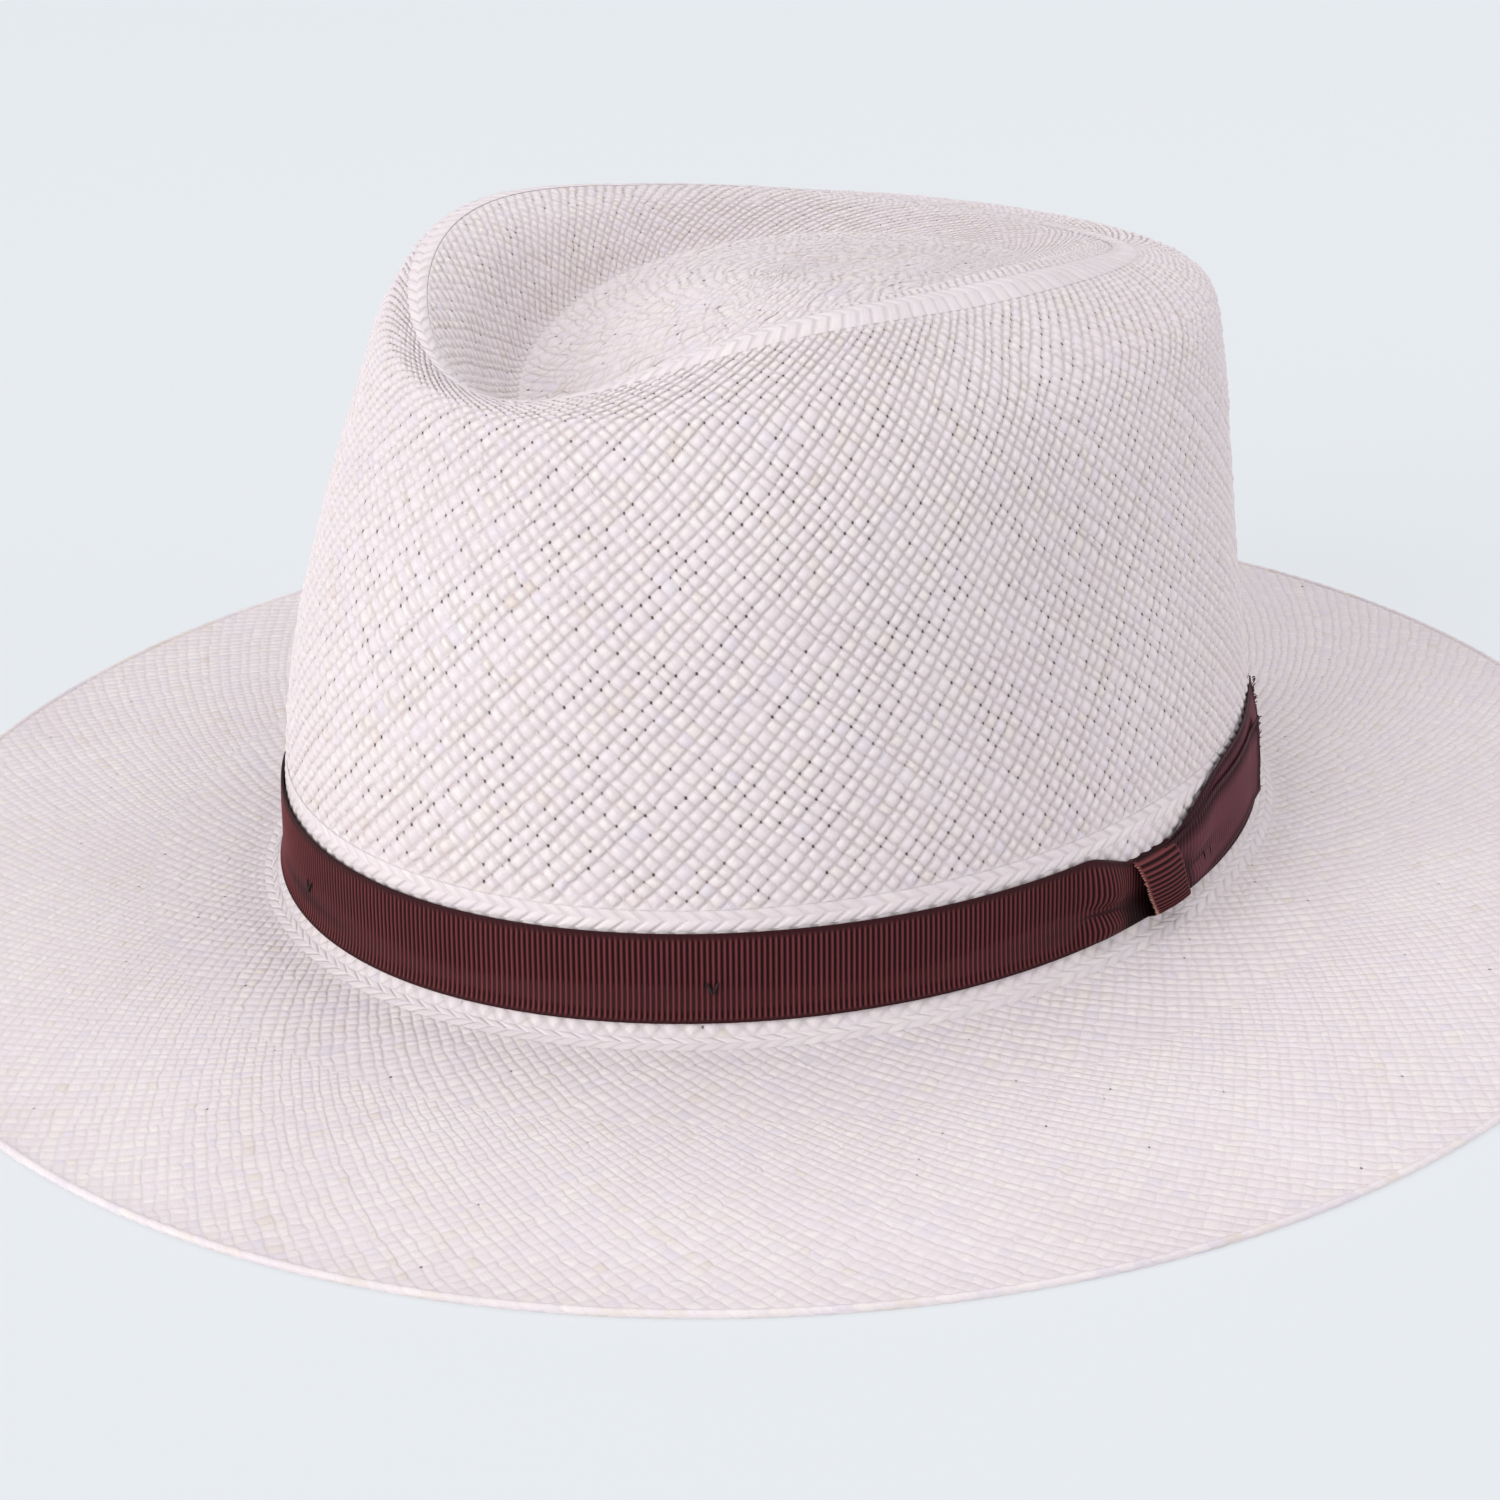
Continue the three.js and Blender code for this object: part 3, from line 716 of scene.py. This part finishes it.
# --- Inside ---------------------------------------------------------------------------------------
def inner_strip(
    name, material, start, end, low, high, lift, thickness, nodes, columns=480, wave=0.0
):
    """A band inside the crown between two angles in degrees, rounded at its two long edges."""
    section = np.array(
        [(0.0, 0.15), (0.0, 0.6), (0.006, 0.9), (0.02, 1.0)]
        + [(share, 1.0) for share in np.linspace(0.06, 0.94, 12)]
        + [(0.98, 1.0), (0.994, 0.9), (1.0, 0.6), (1.0, 0.15), (0.9, 0.0), (0.1, 0.0)]
    )
    share, depth = section[:, :1], section[:, 1:]
    degrees = np.linspace(start, end, columns)[None, :]
    ripple = wave * np.sin(np.radians(degrees) * 9 + 4 * share) * share
    station = low + (high - low) * share
    points = on_hat(np.radians(degrees), station, lift - depth * thickness + ripple)
    rows = len(section)
    faces, face_rows, face_columns = strip_faces(rows, columns)
    return mesh_piece(
        name,
        points.reshape(-1, 3),
        faces,
        material,
        nodes,
        uv=strip_uv(face_columns * (end - start) / columns * 0.16, face_rows / rows * 3, rows),
    )


# --- Materials ------------------------------------------------------------------------------------
def colour(*rgb):
    """A colour given from 0 to 255, as Blender's linear values."""
    channels = [value / 255 for value in rgb]
    return [c / 12.92 if c <= 0.04045 else ((c + 0.055) / 1.055) ** 2.4 for c in channels] + [1]


def grey(value):
    """A linear grey."""
    return (value, value, value, 1)


class Shader:
    """A node material, with short ways to add its nodes."""

    def __init__(self, name, **fixed):
        self.material = bpy.data.materials.new(name)
        self.material.use_nodes = True
        self.tree = self.material.node_tree
        self.surface = self.tree.nodes["Principled BSDF"]
        for socket, value in fixed.items():
            self.surface.inputs[socket.replace("_", " ")].default_value = value

    def put(self, socket, value):
        if hasattr(value, "is_linked"):
            self.tree.links.new(value, socket)
        else:
            socket.default_value = value

    def math(self, operation, a, b=0.0):
        node = self.tree.nodes.new("ShaderNodeMath")
        node.operation = operation
        self.put(node.inputs[0], a)
        self.put(node.inputs[1], b)
        return node.outputs[0]

    def times(self, first, *others):
        for other in others:
            first = self.math("MULTIPLY", first, other)
        return first

    def inverted(self, value):
        return self.math("SUBTRACT", 1.0, value)

    def value(self, name):
        node = self.tree.nodes.new("ShaderNodeAttribute")
        node.attribute_name = name
        return node.outputs["Fac"]

    def uv(self):
        node = self.tree.nodes.new("ShaderNodeUVMap")
        node.uv_map = "weave"
        return node.outputs[0]

    def place(self):
        return self.tree.nodes.new("ShaderNodeTexCoord").outputs["Object"]

    def scaled(self, vector, x, y):
        node = self.tree.nodes.new("ShaderNodeVectorMath")
        node.operation = "MULTIPLY"
        self.put(node.inputs[0], vector)
        node.inputs[1].default_value = (x, y, 1.0)
        return node.outputs[0]

    def noise(self, vector, scale, detail=2.0, roughness=0.5, w=None):
        node = self.tree.nodes.new("ShaderNodeTexNoise")
        if w is not None:
            node.noise_dimensions = "4D"
            self.put(node.inputs["W"], w)
        self.put(node.inputs["Vector"], vector)
        node.inputs["Scale"].default_value = scale
        node.inputs["Detail"].default_value = detail
        node.inputs["Roughness"].default_value = roughness
        return node.outputs["Fac"]

    def parts(self, vector):
        node = self.tree.nodes.new("ShaderNodeSeparateXYZ")
        self.put(node.inputs[0], vector)
        return node.outputs[0], node.outputs[1]

    def step(self, value, low, high):
        """0 below low, 1 above high, smooth between."""
        node = self.tree.nodes.new("ShaderNodeMapRange")
        node.interpolation_type = "SMOOTHSTEP"
        self.put(node.inputs["Value"], value)
        node.inputs["From Min"].default_value = low
        node.inputs["From Max"].default_value = high
        return node.outputs[0]

    def rounded_box(self, x, y, corner):
        """How far a place is outside a unit square with rounded corners; x and y are from its sides."""
        into_x = self.math("MAXIMUM", self.math("SUBTRACT", corner, x), 0.0)
        into_y = self.math("MAXIMUM", self.math("SUBTRACT", corner, y), 0.0)
        square = self.math("ADD", self.times(into_x, into_x), self.times(into_y, into_y))
        return self.math("SUBTRACT", self.math("SQRT", square), corner)

    def between(self, share, a, b):
        """a where share is 0, b where it is 1."""
        return self.math("ADD", a, self.times(share, self.math("SUBTRACT", b, a)))

    def nearest_whole(self, value):
        """How far a value is from the nearest whole number."""
        share = self.math("FRACT", value)
        return self.math("MINIMUM", share, self.inverted(share))

    def ramp(self, value, stops):
        node = self.tree.nodes.new("ShaderNodeValToRGB")
        elements = node.color_ramp.elements
        while len(elements) < len(stops):
            elements.new(0.5)
        for element, (position, shade) in zip(elements, stops):
            element.position = position
            element.color = shade
        self.put(node.inputs[0], value)
        return node.outputs[0]

    def mix(self, factor, a, b, blend="MIX"):
        node = self.tree.nodes.new("ShaderNodeMix")
        node.data_type = "RGBA"
        node.blend_type = blend
        self.put(node.inputs["Factor"], factor)
        self.put(node.inputs[6], a)
        self.put(node.inputs[7], b)
        return node.outputs[2]

    def darkened(self, base, value, low, shade):
        """The base times a shade where value is below low, untouched where it is above 0.7."""
        return self.mix(1.0, base, self.ramp(value, [(low, shade), (0.7, grey(1))]), "MULTIPLY")

    def greys(self, value, low, high):
        """A grey from low to high as value goes from 0.3 to 0.7."""
        return self.ramp(value, [(0.3, grey(low)), (0.7, grey(high))])

    def bump(self, height, distance, strength):
        node = self.tree.nodes.new("ShaderNodeBump")
        node.inputs["Strength"].default_value = strength
        node.inputs["Distance"].default_value = distance
        self.put(node.inputs["Height"], height)
        self.put(self.surface.inputs["Normal"], node.outputs[0])

    def finish(self, base, roughness=None):
        self.put(self.surface.inputs["Base Color"], base)
        if roughness is not None:
            self.put(self.surface.inputs["Roughness"], roughness)
        return self.material


CELL_CORNER = 0.46  # radius of a crossing's rounded corners, in cells
STRAW_TINTS = [
    (0.0, colour(229, 221, 228)),
    (0.2, colour(238, 229, 231)),
    (0.5, colour(235, 226, 227)),
    (0.75, colour(241, 233, 232)),
    (0.92, colour(236, 227, 222)),
    (1.0, colour(230, 218, 211)),
]
# Painted shade: the colours of the creases between cells and of the gaps at crossings.
STRAW_CREASE_SHADE, STRAW_HOLE_SHADE = colour(158, 134, 132), colour(70, 54, 52)


def straw_material():
    """Bleached straw: a pale tint for each strand, fibres along it, and painted shade in its creases,
    where it dives under and in the gaps at its crossings.
    """
    shader = Shader("straw_weave", Roughness=0.5, IOR=1.45)
    tint = shader.value("tint")
    fibre = shader.noise(shader.scaled(shader.uv(), 9, 0.9), 1.0, 3, 0.6, shader.times(tint, 47))
    cloud = shader.noise(shader.place(), 22.0, 2)
    base = shader.ramp(tint, STRAW_TINTS)
    base = shader.darkened(base, fibre, 0.25, (0.9, 0.885, 0.885, 1))
    base = shader.darkened(base, cloud, 0.3, (0.955, 0.94, 0.945, 1))
    across, along = shader.parts(shader.uv())
    from_edge = shader.nearest_whole(across)
    from_dive = shader.nearest_whole(along)
    turned = shader.value("turned")
    from_side = shader.between(turned, from_edge, from_dive)
    from_main = shader.between(turned, from_dive, from_edge)
    outside = shader.rounded_box(from_side, from_main, CELL_CORNER)
    both_ways = shader.step(shader.value("crease_shade"), -0.6, 0.8)
    pale_share = shader.ramp(tint, [(0.2, grey(0.45)), (0.7, grey(1))])
    deep = shader.times(shader.value("crease_shade"), pale_share)

    # Painted shade in the creases between cells, darker in the main creases, which lie across the light,
    # and where a strand dives under.
    main = shader.inverted(shader.step(from_main, 0.0, 0.16))
    side = shader.times(both_ways, shader.inverted(shader.step(from_side, 0.0, 0.12)), 0.6)
    crease_shade = shader.math("MAXIMUM", shader.math("MAXIMUM", main, side), shader.step(outside, -0.1, 0.09))
    under = shader.inverted(shader.step(from_dive, 0.0, 0.3))
    crease_shade = shader.math("ADD", shader.times(crease_shade, deep, 0.27), shader.times(under, deep, 0.13))
    base = shader.mix(crease_shade, base, STRAW_CREASE_SHADE)
    # Painted shade: dark dots at the crossings' rounded corners where there is a gap.
    hole_shade = shader.times(shader.step(outside, 0.02, 0.1), shader.step(shader.value("hole_shade"), 0.16, 0.75))
    base = shader.mix(hole_shade, base, STRAW_HOLE_SHADE)

    side_dip = shader.times(both_ways, shader.inverted(shader.step(from_side, 0.0, 0.28)), 0.8)
    pillow = shader.times(shader.step(from_main, 0.0, 0.24), shader.inverted(side_dip))
    pillow = shader.times(pillow, shader.math("POWER", deep, 0.7))
    shader.bump(shader.math("ADD", pillow, shader.times(fibre, 0.2)), 0.0003, 0.9)
    roughness = shader.math("MULTIPLY_ADD", fibre, 0.2)
    roughness.node.inputs[2].default_value = 0.38
    return shader.finish(base, roughness)


def ribbon_material(name, rib_dark, rib_light, rib_gap_shade_strength, sheen):
    """Maroon ribbon: dull ribs with painted shade in the gaps between them and in the knot's hollows, and
    darker along the selvedges, on the tails partly as painted shadow.
    """
    shader = Shader(name, Sheen_Weight=sheen, Sheen_Roughness=0.4, IOR=1.42, Specular_IOR_Level=0.1)
    shader.surface.inputs["Sheen Tint"].default_value = colour(215, 150, 165)
    fine = shader.noise(shader.scaled(shader.uv(), 1.0, 60), 2.0, 3, 0.6)
    cloud = shader.noise(shader.place(), 60.0, 2)
    base = shader.mix(fine, rib_dark, rib_light)
    # Painted shade in the gaps between the ribs.
    base = shader.mix(shader.times(shader.value("rib_gap_shade"), rib_gap_shade_strength), base, colour(38, 10, 14))
    # Darker selvedges: real on the hatband, and partly painted shadow on the tails' wider bands.
    base = shader.mix(shader.times(shader.value("selvedge_and_edge_shadow"), 0.85), base, colour(30, 11, 16))
    # Painted shade: near black in the hollows beside the knot.
    base = shader.mix(shader.times(shader.value("knot_hollow_shade"), 0.85), base, colour(16, 5, 8))
    base = shader.darkened(base, cloud, 0.3, (0.85, 0.84, 0.84, 1))
    shader.bump(fine, 0.00008, 0.6)
    return shader.finish(base, shader.greys(fine, 0.4, 0.55))


def thread_material(name, light, dark):
    shader = Shader(name, Roughness=0.7)
    twist = shader.noise(shader.place(), 2400.0, 2)
    shader.bump(twist, 0.0001, 0.6)
    return shader.finish(shader.mix(twist, light, dark))


def leather_material():
    """Tan leather with a fine pebbled grain and slightly darker pores."""
    shader = Shader("sweatband_leather", IOR=1.48)
    pebble = shader.tree.nodes.new("ShaderNodeTexVoronoi")
    pebble.inputs["Scale"].default_value = 1400.0
    shader.put(pebble.inputs["Vector"], shader.place())
    grain = pebble.outputs["Distance"]
    cloud = shader.noise(shader.place(), 45.0, 4, 0.6)
    base = shader.mix(cloud, colour(196, 162, 122), colour(216, 186, 148))
    base = shader.mix(shader.times(grain, 0.35), base, colour(168, 130, 92))
    shader.bump(grain, 0.00012, 0.5)
    return shader.finish(base, shader.greys(cloud, 0.42, 0.56))


def tape_material():
    """Cream cotton tape in a plain weave."""
    shader = Shader("cotton_tape", Roughness=0.85)
    wave = shader.tree.nodes.new("ShaderNodeTexWave")
    wave.inputs["Scale"].default_value = 14.0
    wave.inputs["Distortion"].default_value = 0.6
    shader.put(wave.inputs["Vector"], shader.uv())
    speck = shader.noise(shader.place(), 1500.0, 2)
    pattern = shader.times(wave.outputs["Fac"], speck)
    shader.bump(pattern, 0.0001, 0.6)
    return shader.finish(shader.mix(pattern, colour(206, 198, 182), colour(236, 230, 216)))


def reed_material():
    """The pale plastic cord inside the sweatband's edge."""
    shader = Shader("reed_cord", IOR=1.46)
    smear = shader.noise(shader.place(), 300.0, 3)
    base = shader.mix(smear, colour(222, 216, 200), colour(240, 236, 224))
    return shader.finish(base, shader.greys(smear, 0.35, 0.5))


# --- Build the hat --------------------------------------------------------------------------------
STRANDS = 166  # strands leaning each way round the crown
CROWDED = 0.18  # how much closer the crown's strands stand at its sides than at its front
DETAIL = 4

# Where the zones of the weave meet, as stations on the rings.
ROLL_END, BRIM_STEP, FOOT_BRAID, CROWN_FOOT = 0.12, 2.45, 3.85, 4.45
BAND_LOW, BAND_HIGH, WALL, CREST, GROOVE = 5.2, 6.03, 6.2, 10.76, 11.24
DOME, ROSETTE = 14.0, 16.95
DOME_ZONES = [(112, 15.2), (76, 15.8), (50, 16.2), (32, 16.55), (20, 16.8), (12, 16.96)]  # strands, end
INNER_ZONES = [
    # name, strands, start, end, relief, holes, detail
    ("brim_under_weave", 228, 0.15, 3.9, 0.07, 0.012, 3),
    ("crown_inside_weave", STRANDS, 3.9, DOME, 0.09, 0.06, 2),
    ("dome_inside_weave", 96, DOME, 16.0, 0.08, 0.03, 2),
]


def add_straw():
    """The straw, zone by zone from the brim's edge to the middle of the crown, then its inner face."""
    straw = straw_material()

    def zone(name, strands, start, end, relief, **options):
        woven_piece(name, straw, strands, start, end, relief, DETAIL, **options)

    brim = dict(wobble=0.1, flat=True)
    wall = dict(holes=0.29, alternate=0.1, crowded=CROWDED, twist=0.28, tighten=0.2)
    edge_roll("brim_edge_roll", straw, 330, 0.62, 0.16)
    zone(
        "brim_outer_weave", 320, ROLL_END, BRIM_STEP, (0.05, 0.07),
        holes=0.004, seed=2, nodes=("straw_body",), **brim,
    )
    zone("brim_inner_weave", 220, BRIM_STEP, FOOT_BRAID, (0.07, 0.09), holes=0.006, seed=3, **brim)
    braided_ring("brim_foot_braid", straw, STRANDS, FOOT_BRAID, CROWN_FOOT, 0.07, seed=4)
    zone("crown_foot_weave", STRANDS, CROWN_FOOT, BAND_LOW, (0.1, 0.1), holes=0.05, seed=5)
    zone("crown_under_band", STRANDS, BAND_LOW, BAND_HIGH, (0.12, 0.12), holes=0.1, seed=6)
    braided_ring("crown_lower_braid", straw, STRANDS, BAND_HIGH, WALL, 0.09, seed=7)
    zone("crown_wall_weave", STRANDS, WALL, CREST, (0.19, 0.2), seed=8, **wall)
    braided_ring("crest_braid", straw, 140, CREST, GROOVE, 0.12, seed=9)
    zone(
        "crown_groove_weave", STRANDS, GROOVE, DOME, (0.17, 0.15),
        holes=0.1, wobble=0.08, crowded=CROWDED, seed=10,
    )
    crown_rosette("crown_rosette", straw, ROSETTE, 12)
    start = DOME
    for index, (strands, end) in enumerate(DOME_ZONES):
        woven_piece(
            f"crown_dome_weave_{index + 1}", straw, strands, start, end, (0.14, 0.14), 3,
            holes=0.05, wobble=0.25, alternate=0.2, seed=20 + index,
        )
        start = end
    for index, (name, strands, start, end, relief, holes, detail) in enumerate(INNER_ZONES):
        woven_piece(
            name, straw, strands, start, end, (relief, relief), detail,
            lift=0.22 - STRAW_THICKNESS, inside=True, holes=holes, seed=40 + index,
        )


BACK_TAIL_REACH, FRONT_TAIL_REACH = 35.5, 30.0  # degrees past the knot
BACK_TAIL_LIFT = tail_lift(1.15, BACK_TAIL_REACH, 0.9, 0.3)
FRONT_TAIL_LIFT = tail_lift(1.7, FRONT_TAIL_REACH, 0.35, 0.85)
FRAYED_CUTS = [(135.3, 16.4, 32.4, 0.9), (129.8, 12.8, 27.4, 2.0)]  # degrees, low, high and lift


def add_ribbon():
    """The hatband, the bow's two tails and its knot, each lying on the one before."""
    ribbon = ribbon_material("ribbon_grosgrain", colour(99, 46, 48), colour(140, 76, 78), 1.0, 0.0)
    # The tails: the same ribbon with real sheen, its colour painted lighter and mauver for the light
    # grazing them, and with fainter rib gaps.
    lighter_tail_ribbon = ribbon_material("ribbon_tails_painted_lighter", colour(100, 56, 66), colour(122, 74, 83), 0.25, 0.25)
    dark_thread = thread_material("maroon_thread", colour(74, 32, 40), colour(44, 17, 24))
    # Near black: dark thread for the hatband's tacks, and painted shade of the dimples for the two tacks
    # beside the knot.
    tack_thread_and_dimple_shade = thread_material("tack_thread_and_dimple_shade", colour(34, 14, 12), colour(14, 5, 6))

    def tail(name, reach, edges, lift, thickness, node, seed):
        start, end = KNOT_ANGLE + 0.6, KNOT_ANGLE + reach
        return ribbon_piece(
            name, lighter_tail_ribbon, start, end, edges, lift, thickness, (node,), seed=seed, frayed=True
        )

    start, end = KNOT_ANGLE + 0.5, KNOT_ANGLE + 359.5
    band = ribbon_piece(
        "hatband_ribbon", ribbon, start, end, band_edges, band_lift, 0.5, ("hatband",)
    )
    back_edges = tail_edges(BACK_TAIL_REACH, 4.6, 11.6, 28, 0.45)
    back = tail(
        "bow_back_tail", BACK_TAIL_REACH, back_edges, BACK_TAIL_LIFT, 0.32, "bow_tail_back", 2
    )
    front_edges = tail_edges(FRONT_TAIL_REACH, 2.6, 10.0, 25.0, 0.45)
    front = tail(
        "bow_front_tail", FRONT_TAIL_REACH, front_edges, FRONT_TAIL_LIFT, 0.36, "bow_tail_front", 3
    )
    knot = bow_knot("bow_knot_loop", ribbon, ("bow_knot",))
    add_fray(dark_thread)
    add_tacks(tack_thread_and_dimple_shade)


def add_fray(dark_thread):
    """Loose thread ends at the tails' cuts and along the knot's cut side."""
    rng = np.random.default_rng(11)
    paths = []
    for tip, low, high, lift in FRAYED_CUTS:
        for height in np.linspace(low, high, 26):
            reach = rng.uniform(0.5, 1.4)
            degrees = tip + np.array([-0.3, 0.3, 0.7]) * reach
            heights = height + np.array([0, 0.1, 0.3]) * rng.normal()
            lifts = lift + np.array([-0.1, 0.1, 0.3]) * reach + np.array([0, 0.1, 0.2]) * rng.normal()
            paths.append(on_foot(degrees, heights, lifts))
    threads("tail_fray", dark_thread, paths, 0.16)
    paths = []
    pale = thread_material("pale_fray", colour(196, 150, 128), colour(140, 92, 78))
    side = KNOT_ANGLE - KNOT_SPREAD / 2
    for along in np.linspace(0.12, 0.97, 30):
        spread = np.array([0.1, -0.08, -0.2]) * rng.uniform(0.6, 1.3)
        degrees = side - 0.05 + 2.6 * (0.5 - along) + spread
        heights = KNOT_BOTTOM + KNOT_HEIGHT * along + np.array([0, 0.1, 0.2]) * rng.normal()
        lifts = knot_lift(along) - 0.3 + np.array([0.1, -0.05, -0.2])
        paths.append(on_foot(degrees, heights, lifts))
    threads("knot_fray", pale, paths, 0.12)


def add_tacks(thread):
    """Small V-shaped tacks round the hatband, and two upright ones beside the knot."""
    shape = np.linspace(-1, 1, 9)
    pull = np.abs(shape) ** 4  # the ends go down into the ribbon
    for tack, centre in enumerate((-12.5, 45.5, 155, 203, 251, 299), 1):
        path = on_foot(centre + 0.62 * shape, 16.4 + 2.0 * np.abs(shape), 1.12 - 0.25 * pull)
        nodes = (f"hatband_tack_{tack}",)
        threads(f"band_tack_{tack}", thread, [path], 0.24, nodes=nodes)
    # The two upright tacks beside the knot, in the near black tack thread, also paint the shade of the
    # dimples in the front tail.
    for tack, centre in enumerate((108.6, 110.2), 1):
        degrees = np.full(9, centre)
        lift = FRONT_TAIL_LIFT(degrees, 0.4) + 0.14 - 0.3 * pull
        path = on_foot(degrees, 14.9 + 1.7 * shape, lift)
        nodes = (f"bow_tack_{tack}",)
        threads(f"bow_side_tack_{tack}", thread, [path], 0.16, nodes=nodes)


SWEATBAND_FACE = -3.1  # the sweatband's inner face, from the straw's outer one
REED_HEIGHT, REED_RADIUS = 6.2, 0.9


def add_inside():
    """The leather sweatband with its joint patch, tape, reed and stitches."""
    leather = leather_material()
    tape = tape_material()
    reed = reed_material()
    thread = thread_material("cream_thread", colour(236, 230, 214), colour(196, 186, 166))
    foot = STATION["foot"]
    inner_strip(
        "sweatband_leather_band", leather, -179.4, 179.4, foot, 6.6,
        SWEATBAND_FACE + 0.9, 0.9, ("sweatband",), wave=0.12,
    )
    inner_strip(
        "sweatband_joint_patch", leather, 173, 187, foot + 0.35, 6.55,
        SWEATBAND_FACE - 0.35, 0.6, ("sweatband_joint",), columns=30,
    )
    tape_band = inner_strip(
        "reed_tape_band", tape, -178.5, 178.5, foot, foot + 0.6, -1.55, 0.3, ("reed_tape",)
    )
    angle = np.radians(np.linspace(-179, 179, 360))
    inset = STRAW_THICKNESS + 0.35 + 0.9 + 0.8
    reach_front, reach_side, _ = RINGS[foot][1]
    path = np.stack(
        [
            (reach_side - inset) * np.sin(angle),
            -(reach_front - inset) * np.cos(angle),
            np.full(len(angle), REED_HEIGHT),
        ],
        axis=-1,
    )
    threads("sweatband_reed_cord", reed, [path], REED_RADIUS, 12, ("sweatband_reed",))
    stitch = np.radians(np.linspace(-179, 179, 1441))
    wave = np.sin(np.linspace(0, 60 * TURN, 1441))
    stitch_path = on_hat(stitch, foot + 0.16, SWEATBAND_FACE - 0.5 - 0.2 * wave)
    threads("sweatband_stitching", thread, [stitch_path], 0.24, 6, ("sweatband_thread",))


# --- Studio ---------------------------------------------------------------------------------------
CAMERA_AZIMUTH, CAMERA_ELEVATION, CAMERA_ROLL = 47.7, 25.6, 0.3
CAMERA_DISTANCE = 0.731
CAMERA_TARGET = Vector((0, 0, 0.00705))
CAMERA_LENS, CAMERA_SENSOR = 89.0, 36.0
CAMERA_SHIFT = (-0.0191, 0.0359)


def axes_from(azimuth, elevation):
    """A view's right, up and backward directions."""
    az, el = math.radians(azimuth), math.radians(elevation)
    back = Vector((math.sin(az) * math.cos(el), -math.cos(az) * math.cos(el), math.sin(el)))
    right = Vector((math.cos(az), math.sin(az), 0))
    return right, back.cross(right), back


def add_camera():
    camera = bpy.data.objects.new("camera", bpy.data.cameras.new("camera"))
    bpy.context.scene.collection.objects.link(camera)
    right, up, back = axes_from(CAMERA_AZIMUTH, CAMERA_ELEVATION)
    rotation = Matrix((right, up, back)).transposed() @ Matrix.Rotation(math.radians(-CAMERA_ROLL), 3, "Z")
    camera.matrix_world = Matrix.Translation(CAMERA_TARGET + back * CAMERA_DISTANCE) @ rotation.to_4x4()
    camera.data.lens, camera.data.sensor_width = CAMERA_LENS, CAMERA_SENSOR
    camera.data.shift_x, camera.data.shift_y = CAMERA_SHIFT
    bpy.context.scene.camera = camera


def add_light(name, azimuth, elevation, distance, size, power, shade):
    light = bpy.data.lights.new(name, "AREA")
    light.size, light.energy, light.color = size, power, shade
    lamp = bpy.data.objects.new(name, light)
    _, _, back = axes_from(azimuth, elevation)
    lamp.location = back * distance
    lamp.rotation_mode = "QUATERNION"
    lamp.rotation_quaternion = back.to_track_quat("Z", "Y")
    bpy.context.scene.collection.objects.link(lamp)


def add_studio():
    mesh = bpy.data.meshes.new("studio_floor")
    mesh.from_pydata([(-6, -6, 0), (6, -6, 0), (6, 6, 0), (-6, 6, 0)], [], [(0, 1, 2, 3)])
    floor = bpy.data.objects.new("studio_floor", mesh)
    bpy.context.scene.collection.objects.link(floor)
    shader = Shader("studio_floor", Roughness=0.9, Emission_Strength=0.685)
    shader.surface.inputs["Emission Color"].default_value = colour(232, 236, 239)
    mesh.materials.append(shader.finish(colour(130, 133, 136)))
    world = bpy.data.worlds.new("studio")
    world.use_nodes = True
    background = world.node_tree.nodes["Background"]
    background.inputs[0].default_value = (0.9, 0.93, 1.0, 1)
    background.inputs[1].default_value = 0.4
    bpy.context.scene.world = world
    add_light("overhead_softbox", 190, 76, 2.5, 3.0, 36, (1.0, 0.985, 0.99))
    add_light("side_softbox", -15, 12, 3.2, 1.2, 34, (1.0, 0.98, 0.97))
    add_light("right_softbox", 118, 14, 3.0, 2.0, 27, (1.0, 0.98, 0.985))
    add_light("front_softbox", 8, 30, 3.2, 2.0, 37, (1.0, 0.985, 0.98))
    bpy.context.scene.view_settings.view_transform = "Standard"


add_straw()
add_camera()
add_ribbon()
add_inside()
add_studio()
